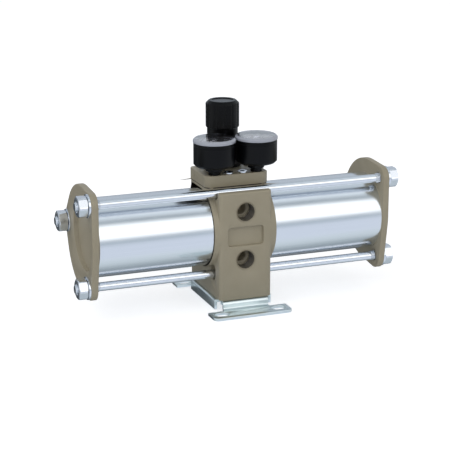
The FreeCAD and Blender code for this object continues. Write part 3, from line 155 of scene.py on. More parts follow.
def linear(code):
    """Linear colour with alpha from an sRGB hex code."""
    shares = [int(code[place:place + 2], 16) / 255 for place in (1, 3, 5)]
    return tuple(c / 12.92 if c <= 0.04045 else ((c + 0.055) / 1.055) ** 2.4 for c in shares) + (1.0,)


def add(tree, kind, settings=None, values=None, links=None):
    """Adds a node with its settings, socket values and links."""
    made = tree.nodes.new(kind)
    for name, value in (settings or {}).items():
        setattr(made, name, value)
    for name, value in (values or {}).items():
        made.inputs[name].default_value = value
    for name, source in (links or {}).items():
        tree.links.new(source, made.inputs[name])
    return made


def material(name, values):
    """New material whose Principled shader has these constants. Gives the material and its node tree."""
    made = bpy.data.materials.new(name)
    made.use_nodes = True
    shader = made.node_tree.nodes["Principled BSDF"]
    for socket, value in values.items():
        shader.inputs[socket].default_value = value
    return made, made.node_tree, shader


def finish_surface(tree, shader, colours, share, roughness, roughness_share, height, depth_mm):
    """Drives colour, roughness and bump of a shader from pattern sockets."""
    mix = add(tree, "ShaderNodeMix", {"data_type": "RGBA"}, {"Factor": 0.5}, {"Factor": share})
    mix.inputs[6].default_value = linear(colours[0])
    mix.inputs[7].default_value = linear(colours[1])
    tree.links.new(mix.outputs[2], shader.inputs["Base Color"])
    spread = add(tree, "ShaderNodeMapRange", None, {"To Min": roughness[0], "To Max": roughness[1]},
                 {"Value": roughness_share})
    tree.links.new(spread.outputs["Result"], shader.inputs["Roughness"])
    bump = add(tree, "ShaderNodeBump", None, {"Strength": 1.0, "Distance": depth_mm * MM}, {"Height": height})
    tree.links.new(bump.outputs["Normal"], shader.inputs["Normal"])


def baked_enamel(name="baked_enamel", colours=("#968E79", "#A39B87")):
    """Baked enamel on die-cast aluminium: warm grey-brown, satin, with the skin of sprayed paint."""
    made, tree, shader = material(name, {"IOR": 1.5, "Specular IOR Level": 0.4})
    place = add(tree, "ShaderNodeTexCoord")
    # Tone drifts over about 20 mm, paint skin has bumps of 1.2 mm, cast grain 0.45 mm
    drift = add(tree, "ShaderNodeTexNoise", None, {"Scale": 1 / (20 * MM), "Detail": 2.0},
                {"Vector": place.outputs["Object"]})
    skin = add(tree, "ShaderNodeTexNoise", None, {"Scale": 1 / (1.2 * MM), "Detail": 3.0},
               {"Vector": place.outputs["Object"]})
    grain = add(tree, "ShaderNodeTexNoise", None, {"Scale": 1 / (0.45 * MM), "Detail": 1.0},
                {"Vector": place.outputs["Object"]})
    height = add(tree, "ShaderNodeMath", {"operation": "MULTIPLY_ADD"}, {1: 0.6},
                 {0: grain.outputs["Fac"], 2: skin.outputs["Fac"]})
    share = add(tree, "ShaderNodeMath", {"operation": "MULTIPLY_ADD"}, {1: 0.35},
                {0: grain.outputs["Fac"], 2: drift.outputs["Fac"]})
    finish_surface(tree, shader, colours, share.outputs[0], (0.36, 0.5), skin.outputs["Fac"],
                   height.outputs[0], 0.035)
    return made


def anodised_aluminium():
    """Clear anodised, drawn tube: cool satin metal with fine lines along the draw."""
    made, tree, shader = material("anodised_aluminium", {"Metallic": 1.0})
    place = add(tree, "ShaderNodeTexCoord")
    # Draw lines are 0.5 mm apart, drawn as coarse as they need to show, and 250 mm long
    lines_at = add(tree, "ShaderNodeMapping", None, {"Scale": (4.0, 1 / (0.5 * MM), 1 / (0.5 * MM))},
                   {"Vector": place.outputs["Object"]})
    lines = add(tree, "ShaderNodeTexNoise", None, {"Scale": 1.0, "Detail": 2.0}, {"Vector": lines_at.outputs[0]})
    clouds = add(tree, "ShaderNodeTexNoise", None, {"Scale": 1 / (25 * MM), "Detail": 3.0},
                 {"Vector": place.outputs["Object"]})
    finish_surface(tree, shader, ("#DCE2E8", "#E8ECF0"), lines.outputs["Fac"], (0.17, 0.23),
                   clouds.outputs["Fac"], lines.outputs["Fac"], 0.0008)
    return made


def zinc_plate(name, colours, roughness, streak_mm):
    """Bright zinc plate: bluish white metal, mirror-like with faint clouds and drawing marks."""
    made, tree, shader = material(name, {"Metallic": 1.0})
    place = add(tree, "ShaderNodeTexCoord")
    clouds = add(tree, "ShaderNodeTexNoise", None, {"Scale": 1 / (6 * MM), "Detail": 4.0},
                 {"Vector": place.outputs["Object"]})
    marks_at = add(tree, "ShaderNodeMapping", None, {"Scale": (12.0, 1 / (streak_mm * MM), 1 / (streak_mm * MM))},
                   {"Vector": place.outputs["Object"]})
    marks = add(tree, "ShaderNodeTexNoise", None, {"Scale": 1.0, "Detail": 2.0}, {"Vector": marks_at.outputs[0]})
    finish_surface(tree, shader, colours, clouds.outputs["Fac"], roughness, clouds.outputs["Fac"],
                   marks.outputs["Fac"], 0.006)
    return made


def machined_alloy_in_painted_shade():
    """Tapped threads in bare alloy, coloured dark and brownish as painted shade inside the ports, with a glint on each
    crest.
    """
    made, tree, shader = material("machined_alloy_in_painted_shade", {"IOR": 1.5})
    place = add(tree, "ShaderNodeTexCoord")
    marks = add(tree, "ShaderNodeTexNoise", None, {"Scale": 1 / (0.4 * MM), "Detail": 2.0},
                {"Vector": place.outputs["Object"]})
    # Dark brown colours are painted shade inside the ports
    finish_surface(tree, shader, ("#2E281C", "#4A4232"), marks.outputs["Fac"], (0.3, 0.45),
                   marks.outputs["Fac"], marks.outputs["Fac"], 0.006)
    return made


def moulded_plastic(name, colours, roughness, grain_mm):
    """Moulded black plastic: fine spark-eroded grain and a soft sheen."""
    made, tree, shader = material(name, {"IOR": 1.52, "Specular IOR Level": 0.16})
    place = add(tree, "ShaderNodeTexCoord")
    grain = add(tree, "ShaderNodeTexNoise", None, {"Scale": 1 / (grain_mm * MM), "Detail": 2.0},
                {"Vector": place.outputs["Object"]})
    drift = add(tree, "ShaderNodeTexNoise", None, {"Scale": 1 / (12 * MM), "Detail": 2.0},
                {"Vector": place.outputs["Object"]})
    finish_surface(tree, shader, colours, drift.outputs["Fac"], roughness, grain.outputs["Fac"],
                   grain.outputs["Fac"], 0.012)
    return made


def clear_polycarbonate():
    """Clear moulded cover: thick, glossy and faintly cool at the rim."""
    made, tree, shader = material("clear_polycarbonate", {
        "IOR": 1.585, "Transmission Weight": 1.0, "Base Color": linear("#F7F8FF"), "Coat Weight": 1.0,
        "Coat Roughness": 0.03})
    place = add(tree, "ShaderNodeTexCoord")
    haze = add(tree, "ShaderNodeTexNoise", None, {"Scale": 1 / (5 * MM), "Detail": 2.0},
               {"Vector": place.outputs["Object"]})
    spread = add(tree, "ShaderNodeMapRange", None, {"To Min": 0.02, "To Max": 0.06}, {"Value": haze.outputs["Fac"]})
    tree.links.new(spread.outputs["Result"], shader.inputs["Roughness"])
    return made


def grained(name, colours, roughness, grain_mm, depth_mm, constants):
    """Even finish with one fine grain, for the small and the inner pieces."""
    made, tree, shader = material(name, constants)
    place = add(tree, "ShaderNodeTexCoord")
    grain = add(tree, "ShaderNodeTexNoise", None, {"Scale": 1 / (grain_mm * MM), "Detail": 3.0},
                {"Vector": place.outputs["Object"]})
    finish_surface(tree, shader, colours, grain.outputs["Fac"], roughness, grain.outputs["Fac"],
                   grain.outputs["Fac"], depth_mm)
    return made


ENAMEL = baked_enamel()
ANODISED = anodised_aluminium()
BRIGHT_ZINC = zinc_plate("bright_zinc_plate", ("#D9DEE6", "#EDF0F4"), (0.12, 0.24), 0.4)
ZINC_SHEET = zinc_plate("zinc_plated_sheet", ("#D2DEE0", "#E4ECEC"), (0.26, 0.34), 2.5)
CUT_ALLOY_IN_PAINTED_SHADE = machined_alloy_in_painted_shade()
GAUGE_ABS = moulded_plastic("black_abs", ("#040507", "#08090C"), (0.28, 0.38), 0.35)
KNOB_NYLON = moulded_plastic("black_glass_filled_nylon", ("#010101", "#030304"), (0.22, 0.34), 0.5)
CLEAR = clear_polycarbonate()
# Side wall of the clear cover: opaque pale blue-grey, a painted reflection of the pale studio in place of clear
# plastic
RIM_PAINTED_REFLECTION = grained("polycarbonate_rim_painted_reflection", ("#9DA2AE", "#B2B6C0"), (0.16, 0.3), 2.0, 0.01, {"IOR": 1.585})
CAP_ABS = moulded_plastic("polished_black_abs", ("#08090A", "#0D0E10"), (0.12, 0.2), 0.8)
DIAL_ENAMEL = grained("black_dial_enamel", ("#07080B", "#0C0D11"), (0.35, 0.45), 2.0, 0.002, {})
DIAL_INK = grained("white_dial_ink", ("#C9CCD2", "#DADCE0"), (0.5, 0.6), 1.0, 0.002, {})
POINTER_PAINT = grained("white_pointer_paint", ("#D5D7DB", "#E4E6E8"), (0.35, 0.45), 1.0, 0.002, {})
GROUND_STEEL = grained("ground_steel", ("#B4B7BB", "#C9CCCF"), (0.2, 0.32), 0.8, 0.003, {"Metallic": 1.0})
TURNED_ALUMINIUM = grained("turned_aluminium", ("#C4C7CC", "#D8DADD"), (0.25, 0.35), 0.6, 0.003, {"Metallic": 1.0})
NITRILE = grained("nitrile_rubber", ("#151515", "#202020"), (0.6, 0.75), 0.6, 0.01, {"IOR": 1.52})
ACETAL = grained("natural_acetal", ("#D9D5C9", "#E3E0D6"), (0.4, 0.5), 2.0, 0.004, {"IOR": 1.48})
BRASS = grained("turned_brass", ("#B99A54", "#CDB069"), (0.22, 0.34), 0.7, 0.003, {"Metallic": 1.0})

SLOT_FINISH = {
    "cast_paint": ENAMEL, "tube_aluminium": ANODISED, "zinc_steel": BRIGHT_ZINC, "plain_steel": GROUND_STEEL,
    "piston_aluminium": TURNED_ALUMINIUM, "seal_rubber": NITRILE, "guide_plastic": ACETAL,
    "black_plastic": GAUGE_ABS, "knob_plastic": KNOB_NYLON, "clear_plastic": CLEAR, "dial_black": DIAL_ENAMEL,
    "pointer_white": POINTER_PAINT, "brass": BRASS}


def dress_nodes():
    """Gives every node of the frame the finish of its slot."""
    for part in frame["record"]["subparts"]:
        data = nodes[part["node"]].data
        data.materials.clear()
        data.materials.append(SLOT_FINISH[part["material_slot"]])


def shade(data, angle=SMOOTH_ANGLE):
    """Smooth faces, sharp where they meet at more than an angle."""
    data.shade_smooth()
    data.set_sharp_from_angle(angle=angle)


def piece(name, data, finish, body, replaced=()):
    """Adds a mesh as a piece that rides on a body and stands for the replaced nodes."""
    made = bpy.data.objects.new(name, data)
    bpy.context.scene.collection.objects.link(made)
    data.materials.clear()
    data.materials.append(finish)
    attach(made, body)
    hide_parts(*replaced)
    return made


def rounded(corners, steps=4):
    """Closed outline of (radius, along) points from corners (radius, along, rounding)."""
    outline = []
    for index, (radius, along, rounding) in enumerate(corners):
        corner = Vector((radius, along))
        if not rounding:
            outline.append((radius, along))
            continue
        before = Vector(corners[index - 1][:2]) - corner
        after = Vector(corners[(index + 1) % len(corners)][:2]) - corner
        before.normalize()
        after.normalize()
        half = before.angle(after) / 2
        middle = corner + (before + after).normalized() * rounding / math.sin(half)
        start = corner + before * rounding / math.tan(half) - middle
        end = corner + after * rounding / math.tan(half) - middle
        turn = start.angle_signed(end)
        for step in range(steps + 1):
            angle = -turn * step / steps
            x = start.x * math.cos(angle) - start.y * math.sin(angle)
            y = start.x * math.sin(angle) + start.y * math.cos(angle)
            outline.append((middle.x + x, middle.y + y))
    return outline


def turned(name, outline, centre, axis, steps=ROUND_STEPS, shape=None, closed=True):
    """Mesh swept round an axis. shape(radius, along, angle) may move each point of the outline."""
    side = Y if abs(axis.x) > 0.5 else X
    across = axis.cross(side)
    work = bmesh.new()
    rings = []
    for radius, along in outline:
        ring = []
        for step in range(steps):
            angle = 2 * math.pi * step / steps
            r, s = shape(radius, along, angle) if shape else (radius, along)
            ring.append(work.verts.new(centre + axis * s + side * r * math.cos(angle) + across * r * math.sin(angle)))
        rings.append(ring)
    pairs = list(zip(rings, rings[1:] + rings[:1])) if closed else list(zip(rings, rings[1:]))
    for one, two in pairs:
        for step in range(steps):
            following = (step + 1) % steps
            work.faces.new((one[step], one[following], two[following], two[step]))
    bmesh.ops.remove_doubles(work, verts=work.verts, dist=1e-7)
    bmesh.ops.delete(work, geom=[edge for edge in work.edges if edge.is_wire], context="EDGES")
    bmesh.ops.recalc_face_normals(work, faces=work.faces)
    data = bpy.data.meshes.new(name)
    work.to_mesh(data)
    work.free()
    shade(data)
    return data


def join_meshes(name, meshes):
    """One mesh from several."""
    work = bmesh.new()
    for data in meshes:
        work.from_mesh(data)
    joined = bpy.data.meshes.new(name)
    work.to_mesh(joined)
    work.free()
    shade(joined)
    return joined


def thread_wave(turns):
    """Height of a thread flank, 0 to 1, at a number of turns along it."""
    phase = turns % 1.0
    return min(1.0, max(0.0, 1.6 * (1 - abs(2 * phase - 1)) - 0.3))


def node_copy(node, edge, cutters=(), segments=2):
    """Clean copy of a node's mesh, cut where asked, with its sharp edges broken."""
    work = bmesh.new()
    work.from_mesh(nodes[node].data)
    bmesh.ops.remove_doubles(work, verts=work.verts, dist=2e-6)
    bmesh.ops.dissolve_limit(work, angle_limit=math.radians(0.3), verts=work.verts, edges=work.edges)
    data = bpy.data.meshes.new(node + "_cast")
    work.to_mesh(data)
    work.free()
    if "custom_normal" in data.attributes:
        data.attributes.remove(data.attributes["custom_normal"])
    made = bpy.data.objects.new(node + "_work", data)
    bpy.context.scene.collection.objects.link(made)
    helpers = []
    for cutter in cutters:
        helper = bpy.data.objects.new("cutter", cutter)
        bpy.context.scene.collection.objects.link(helper)
        helpers.append(helper)
        cut = made.modifiers.new("cut", "BOOLEAN")
        cut.object = helper
        cut.operation = "DIFFERENCE"
    bevel = made.modifiers.new("broken edges", "BEVEL")
    bevel.width = edge
    bevel.segments = segments
    bevel.limit_method = "ANGLE"
    bevel.angle_limit = math.radians(38)
    bevel.use_clamp_overlap = False
    bevel.miter_outer = "MITER_ARC"
    view = bpy.context.evaluated_depsgraph_get()
    result = bpy.data.meshes.new_from_object(made.evaluated_get(view))
    result.name = node
    for leftover in helpers + [made]:
        bpy.data.objects.remove(leftover)
    shade(result)
    return result


def middle(node):
    """Middle of a node's box."""
    low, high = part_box(node)
    return (low + high) / 2


# Tubes, rods, nuts and washers

def build_tubes():
    """Drawn tubes whose ends are turned off square."""
    for side in SIDES:
        low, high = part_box(side + "_tube")
        radius = (high.z - low.z) / 2
        half = (high.x - low.x) / 2
        outline = rounded([(radius - TUBE_WALL, -half, FINE_EDGE), (radius, -half, FINE_EDGE),
                           (radius, half, FINE_EDGE), (radius - TUBE_WALL, half, FINE_EDGE)])
        data = turned(side + "_tube_shell", outline, (low + high) / 2, X, steps=2 * ROUND_STEPS)
        piece(side + "_tube_shell", data, ANODISED, "housing", [side + "_tube"])


def build_tie_rods():
    """Plated studs whose rolled threads stand proud of the shank, as rolling leaves them."""
    for name in ("tie_rod_upper", "tie_rod_rear", "tie_rod_lower"):
        low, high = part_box(name)
        radius = (high.z - low.z) / 2
        half = (high.x - low.x) / 2
        start = half - ROD_THREAD_LENGTH

        def rolled(r, along, angle):
            fade = min(1.0, max(0.0, (abs(along) - start) / ROD_THREAD_PITCH))
            depth = ROD_THREAD_DEPTH * thread_wave(along / ROD_THREAD_PITCH - angle / (2 * math.pi))
            return min(r, radius - ROD_SHANK_STEP * (1 - fade) - depth * fade), along

        step = ROD_THREAD_PITCH / THREAD_RINGS_PER_TURN
        count = round((ROD_THREAD_LENGTH - ROD_CHAMFER) / step)
        thread = [(radius, start + step * ring) for ring in range(count + 1)]
        outline = thread + [(radius - ROD_CHAMFER, half), (0.0, half)]
        outline = [(r, -s) for r, s in reversed(outline)] + outline
        data = turned(name + "_stud", outline, (low + high) / 2, X, steps=48, shape=rolled, closed=False)
        piece(name + "_stud", data, BRIGHT_ZINC, "housing", [name])


def rod_places():
    """Middle line of each tie rod."""
    return [middle(name) for name in ("tie_rod_upper", "tie_rod_rear", "tie_rod_lower")]


def nut_mesh(centre, outward, height):
    """Hexagon nut with both faces turned to a cone, as a free-standing mesh from its seat outwards."""
    flat = NUT_ACROSS_FLATS / 2
    slope = math.tan(math.radians(30))

    def hexagon(r, along, angle):
        if r < flat:
            return r, along
        turn = (angle % math.radians(60)) - math.radians(30)
        reach = min(flat / math.cos(turn), flat / math.cos(math.radians(30)) - NUT_CORNER)
        drop = (reach - NUT_FACE_RADIUS) * slope
        return reach, min(max(along, drop), height - drop)

    outline = [(ROD_HOLE + NUT_MOUTH, 0), (NUT_FACE_RADIUS, 0), (flat, 0), (flat, height),
               (NUT_FACE_RADIUS, height), (ROD_HOLE + NUT_MOUTH, height), (ROD_HOLE, height - NUT_MOUTH),
               (ROD_HOLE, NUT_MOUTH)]
    return turned("nut", outline, centre, outward, steps=72, shape=hexagon)


def build_fasteners():
    """Nuts and washers at both ends of the rods."""
    nut_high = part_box("tie_rod_nuts")[1]
    washer_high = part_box("tie_rod_washers")[1]
    thickness = washer_high.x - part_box("right_cover")[1].x
    height = nut_high.x - washer_high.x
    washer_radius = washer_high.z - middle("tie_rod_upper").z
    nuts = []
    washers = []
    for place in rod_places():
        for side in SIDES.values():
            seat = Vector((side * washer_high.x, place.y, place.z))
            nuts.append(nut_mesh(seat, X * side, height))
            outline = rounded([(ROD_HOLE, 0, 0), (washer_radius, 0, FINE_EDGE),
                               (washer_radius, thickness, FINE_EDGE), (ROD_HOLE, thickness, 0)])
            washers.append(turned("washer", outline, seat - X * side * thickness, X * side))
    piece("rod_nuts", join_meshes("rod_nuts", nuts), BRIGHT_ZINC, "housing", ["tie_rod_nuts"])
    piece("rod_washers", join_meshes("rod_washers", washers), BRIGHT_ZINC, "housing",
          ["tie_rod_washers"])


# Castings and the folded bracket

def port_place(name):
    """Mouth of a port and its outward direction, from the record's mounts."""
    mount = next(entry for entry in frame["record"]["mounts"] if entry["name"] == name)
    outward = Vector(mount["axis"])
    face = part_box("centre_body")[0].y if outward.y < 0 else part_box("centre_body")[1].y
    return Vector((mount["pos_m"][0], face, mount["pos_m"][2])), outward


def build_ports():
    """Tapped sleeves that line the ports, and the plain cutters that make room for them in the casting."""
    cutters = []
    sleeves = []
    for name in PORTS:
        mouth, outward = port_place(name)

        def tapped(r, along, angle):
            if r > PORT_RADIUS + MM / 100:
                return r, along
            depth = PORT_THREAD_DEPTH * thread_wave(along / PORT_THREAD_PITCH + angle / (2 * math.pi))
            cone = PORT_RADIUS + PORT_CHAMFER + along
            return min(max(r + depth, cone), PORT_THREAD_ROOM), along

        step = PORT_THREAD_PITCH / THREAD_RINGS_PER_TURN
        count = round(PORT_THREAD_LENGTH / step)
        bore = [(PORT_RADIUS, -step * ring) for ring in range(count + 1)]
        outline = bore + [(PORT_THREAD_ROOM, -PORT_THREAD_LENGTH), (PORT_THREAD_ROOM, 0.0)]
        sleeves.append(turned("sleeve", outline, mouth, outward, steps=72, shape=tapped))
        plug = [(0.0, MM), (PORT_THREAD_ROOM, MM), (PORT_THREAD_ROOM, -PORT_THREAD_LENGTH),
                (0.0, -PORT_THREAD_LENGTH)]
        cutters.append(turned("plug", plug, mouth, outward, closed=False))
    # The threads take the dark alloy, whose colour is painted shade inside the ports
    piece("port_threads", join_meshes("port_threads", sleeves), CUT_ALLOY_IN_PAINTED_SHADE, "housing")
    return cutters


def seat_cutter(side, sign):
    """Ring that trims a cover back to its plate round the end of the tube, where the plate shows flat."""
    low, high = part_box(side + "_tube")
    radius = (high.z - low.z) / 2
    reach = high.x if sign > 0 else -low.x
    centre = Vector((sign * reach, (low.y + high.y) / 2, (low.z + high.z) / 2))
    outline = [(radius, COVER_SHAVE), (COVER_REACH, COVER_SHAVE), (COVER_REACH, -SEAT_TRIM), (radius, -SEAT_TRIM)]
    return turned("seat_cutter", outline, centre, X * sign)


def build_castings():
    """Body, covers, regulator block and bracket with the edges that casting, paint and punching leave."""
    body = node_copy("centre_body", CAST_EDGE, build_ports())
    piece("body_casting", body, ENAMEL, "housing", ["centre_body"])
    for side, sign in SIDES.items():
        cover = side + "_cover"
        casting = node_copy(cover, CAST_EDGE, [seat_cutter(side, sign)])
        piece(cover + "_casting", casting, ENAMEL, "housing", [cover])
    piece("regulator_block_casting", node_copy("regulator_block", FINE_EDGE), ENAMEL, "housing",
          ["regulator_block"])
    piece("foot_plate", node_copy("foot_bracket", SHEET_EDGE), ZINC_SHEET, "housing",
          ["foot_bracket"])


# Knob, bonnet and gauges

def build_knob():
    """Fluted knob with a bevelled top, and the bright disc let into it."""
    low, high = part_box("knob")
    cap_low, cap_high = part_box("knob_cap")
    outer = (high.x - low.x) / 2
    cap_radius = (cap_high.x - cap_low.x) / 2
    skirt = outer - KNOB_SKIRT_STEP
    height = high.z - low.z
    floor = cap_low.z - low.z
    outline = rounded([
        (KNOB_CAVITY, 0, 0), (skirt - KNOB_SKIRT_STEP / 2, 0, FINE_EDGE), (skirt, KNOB_SKIRT_STEP, FINE_EDGE),
        (skirt, KNOB_SKIRT_HEIGHT, FINE_EDGE), (outer, KNOB_SKIRT_HEIGHT + KNOB_SKIRT_STEP, 2 * FINE_EDGE),
        (outer, height - KNOB_BEVEL_HEIGHT, 4 * FINE_EDGE), (KNOB_TOP_RADIUS, height, 3 * FINE_EDGE),
        (cap_radius + CAP_GAP, height, FINE_EDGE), (cap_radius + CAP_GAP, floor, 0), (0, floor, 0),
        (0, floor - 2 * MM, 0), (KNOB_CAVITY, floor - 2 * MM, 0)])

    def fluted(r, along, angle):
        if r < skirt + FINE_EDGE:
            return r, along
        phase = (angle / (2 * math.pi) * KNOB_FLUTES) % 1.0
        reach = abs(phase - 0.5) / (KNOB_FLUTE_SHARE / 2)
        depth = KNOB_FLUTE_DEPTH * (1 - reach ** 2) if reach < 1 else 0.0
        return min(r, outer - depth), along

    centre = Vector(((low.x + high.x) / 2, (low.y + high.y) / 2, low.z))
    data = turned("knob_grip", outline, centre, Z, steps=30 * KNOB_FLUTES, shape=fluted)
    piece("knob_grip", data, KNOB_NYLON, "knob_set", ["knob"])
    rise = cap_high.z - cap_low.z
    cap = rounded([(0, 0, 0), (cap_radius, 0, 0), (cap_radius, rise, FINE_EDGE),
                   (cap_radius - 1.2 * MM, rise, FINE_EDGE), (cap_radius - 1.6 * MM, rise - 0.25 * MM, FINE_EDGE),
                   (0, rise - 0.25 * MM, 0)])
    cap_centre = Vector((centre.x, centre.y, cap_low.z))
    piece("knob_disc", turned("knob_disc", cap, cap_centre, Z), CAP_ABS, "knob_set", ["knob_cap"])
    bonnet = node_copy("regulator_bonnet", 2 * FINE_EDGE)
    piece("bonnet_moulding", bonnet, GAUGE_ABS, "housing", ["regulator_bonnet"])


def flat_print(name, bars, words):
    """One thin mesh of printed bars (centre, length, width, turn) and numbers (text, centre, size)."""
    work = bmesh.new()
    for centre, length, width, turn in bars:
        along = Vector((math.cos(turn), math.sin(turn), 0)) * length / 2
        across = Vector((-math.sin(turn), math.cos(turn), 0)) * width / 2
        corners = [centre + along + across, centre - along + across, centre - along - across,
                   centre + along - across]
        lower = [work.verts.new(corner) for corner in corners]
        upper = [work.verts.new(corner + Z * PRINT_THICKNESS) for corner in corners]
        work.faces.new(upper)
        work.faces.new(lower[::-1])
        for index in range(4):
            following = (index + 1) % 4
            work.faces.new((lower[index], lower[following], upper[following], upper[index]))
    for text, centre, size in words:
        letters = bpy.data.curves.new(name, "FONT")
        letters.body = text
        letters.size = size
        letters.align_x = "CENTER"
        letters.align_y = "CENTER"
        letters.extrude = PRINT_THICKNESS / 2
        holder = bpy.data.objects.new(name, letters)
        holder.location = centre + Z * PRINT_THICKNESS / 2
        bpy.context.scene.collection.objects.link(holder)
        view = bpy.context.evaluated_depsgraph_get()
        data = bpy.data.meshes.new_from_object(holder.evaluated_get(view))
        data.transform(holder.matrix_world)
        work.from_mesh(data)
        bpy.data.objects.remove(holder)
    bmesh.ops.recalc_face_normals(work, faces=work.faces)
    data = bpy.data.meshes.new(name)
    work.to_mesh(data)
    work.free()
    return data


def build_dial(side):
    """Black dial plate with a printed scale from 0 to 1 in fifths."""
    low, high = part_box(side + "_gauge_dial")
    centre = (low + high) / 2
    radius = (high.x - low.x) / 2
    plate = rounded([(DIAL_HOLE, low.z, 0), (radius, low.z, 0), (radius, high.z, FINE_EDGE), (DIAL_HOLE, high.z, 0)])
    flat_centre = Vector((centre.x, centre.y, 0))
    data = turned(side + "_dial_plate", plate, flat_centre, Z)
    piece(side + "_dial_plate", data, DIAL_ENAMEL, "housing", [side + "_gauge_dial"])
    top = Vector((centre.x, centre.y, high.z))
    bars = []
    words = []
    count = DIAL_STEPS * TICKS_PER_STEP
    for tick in range(count + 1):
        turn = DIAL_START - DIAL_SWEEP * tick / count
        heading = Vector((math.cos(turn), math.sin(turn), 0))
        long = tick % (TICKS_PER_STEP // 2) == 0
        length = LONG_TICK if long else SHORT_TICK
        width = TICK_WIDTH * (1.6 if long else 1.0)
        bars.append((top + heading * (SCALE_RADIUS - length / 2), length, width, turn))
        if tick < count:
            middle_turn = turn - DIAL_SWEEP / count / 2
            chord = 2 * SCALE_RADIUS * math.sin(DIAL_SWEEP / count / 2) + TICK_WIDTH
            rim = Vector((math.cos(middle_turn), math.sin(middle_turn), 0)) * SCALE_RADIUS
            bars.append((top + rim, TICK_WIDTH, chord, middle_turn))
        if tick % TICKS_PER_STEP == 0:
            number = ("%.1f" % (tick / count)) if 0 < tick < count else str(tick // count)
            words.append((number, top + heading * NUMBER_RADIUS, NUMBER_HEIGHT))
    piece(side + "_dial_print", flat_print(side + "_dial_print", bars, words), DIAL_INK, "housing")


def build_gauge(side):
    """Case, clear cover, dial, pointer and stem of one gauge."""
    low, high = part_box(side + "_gauge_case")
    radius = (high.x - low.x) / 2
    centre = Vector(((low.x + high.x) / 2, (low.y + high.y) / 2, 0))
    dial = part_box(side + "_gauge_dial")
    inside = radius - CASE_WALL
    groove = high.z - CASE_GROOVE_DROP
    outline = rounded([
        (STEM_RADIUS, low.z, 0), (radius - CASE_BEVEL, low.z, 2 * FINE_EDGE),
        (radius, low.z + CASE_BEVEL, 2 * FINE_EDGE), (radius, groove - CASE_GROOVE, 0),
        (radius - CASE_GROOVE, groove, 0), (radius, groove + CASE_GROOVE, 0), (radius, high.z, FINE_EDGE),
        (inside, high.z, 0), (inside, dial[0].z, 0), (inside - MM, dial[0].z, 0), (inside - MM, low.z + CASE_BEVEL, 0),
        (inside - CASE_BEVEL, low.z + CASE_WALL, 0), (STEM_RADIUS, low.z + CASE_WALL, 0)])
    case = turned(side + "_case_moulding", outline, centre, Z)
    piece(side + "_case_moulding", case, GAUGE_ABS, "housing", [side + "_gauge_case"])
    cover_low, cover_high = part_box(side + "_gauge_cover")
    outer = (cover_high.x - cover_low.x) / 2
    top = cover_high.z
    inner = outer - RIM_WALL
    lid = rounded([
        (inner, cover_low.z, 0), (outer, cover_low.z, FINE_EDGE), (outer, top - WINDOW_LIP, 2 * FINE_EDGE),
        (outer - WINDOW_LIP, top, 2 * FINE_EDGE), (0, top, 0), (0, top - WINDOW_THICKNESS, 0),
        (inner, top - WINDOW_THICKNESS, FINE_EDGE)])
    cover = turned(side + "_cover_moulding", lid, centre, Z)
    made = piece(side + "_cover_moulding", cover, CLEAR, "housing", [side + "_gauge_cover"])
    # The cover's side wall takes the opaque rim colour, a painted reflection; the top and the window stay clear
    cover.materials.append(RIM_PAINTED_REFLECTION)
    for face in cover.polygons:
        out = Vector((face.center.x - centre.x, face.center.y - centre.y)).length
        face.material_index = 1 if out > inner - FINE_EDGE and abs(face.normal.z) < 0.9 else 0
    build_dial(side)
    pointer = node_copy(side + "_gauge_pointer", 0.1 * MM)
    piece(side + "_needle", pointer, POINTER_PAINT, side + "_pointer", [side + "_gauge_pointer"])
    stem = node_copy(side + "_gauge_stem", FINE_EDGE)
    piece(side + "_stem_adapter", stem, GAUGE_ABS, "housing", [side + "_gauge_stem"])
    return made


# Stage, light and camera

def build_stage():
    """White floor that keeps a soft shadow and that metal does not mirror."""
    floor = bpy.data.meshes.new("floor")
    reach = FLOOR_REACH
    floor.from_pydata([(-reach, -reach, 0), (reach, -reach, 0), (reach, reach, 0), (-reach, reach, 0)], [], [(0, 1, 2, 3)])
    made = bpy.data.objects.new("floor", floor)
    bpy.context.scene.collection.objects.link(made)
    paper = bpy.data.materials.new("white_paper")
    paper.use_nodes = True
    tree = paper.node_tree
    tree.nodes.remove(tree.nodes["Principled BSDF"])
    seen = add(tree, "ShaderNodeLightPath")
    dull = add(tree, "ShaderNodeBsdfDiffuse", None, {"Color": linear("#E6E8EC")})
    glow = add(tree, "ShaderNodeEmission", None, {"Color": (1, 1, 1, 1)}, None)
    lift = add(tree, "ShaderNodeMath", {"operation": "MULTIPLY"}, {1: FLOOR_LIFT}, {0: seen.outputs["Is Camera Ray"]})
    tree.links.new(lift.outputs[0], glow.inputs["Strength"])
    both = add(tree, "ShaderNodeAddShader", None, None, {0: dull.outputs[0], 1: glow.outputs[0]})
    tree.links.new(both.outputs[0], tree.nodes["Material Output"].inputs["Surface"])
    floor.materials.append(paper)
    made.visible_glossy = False


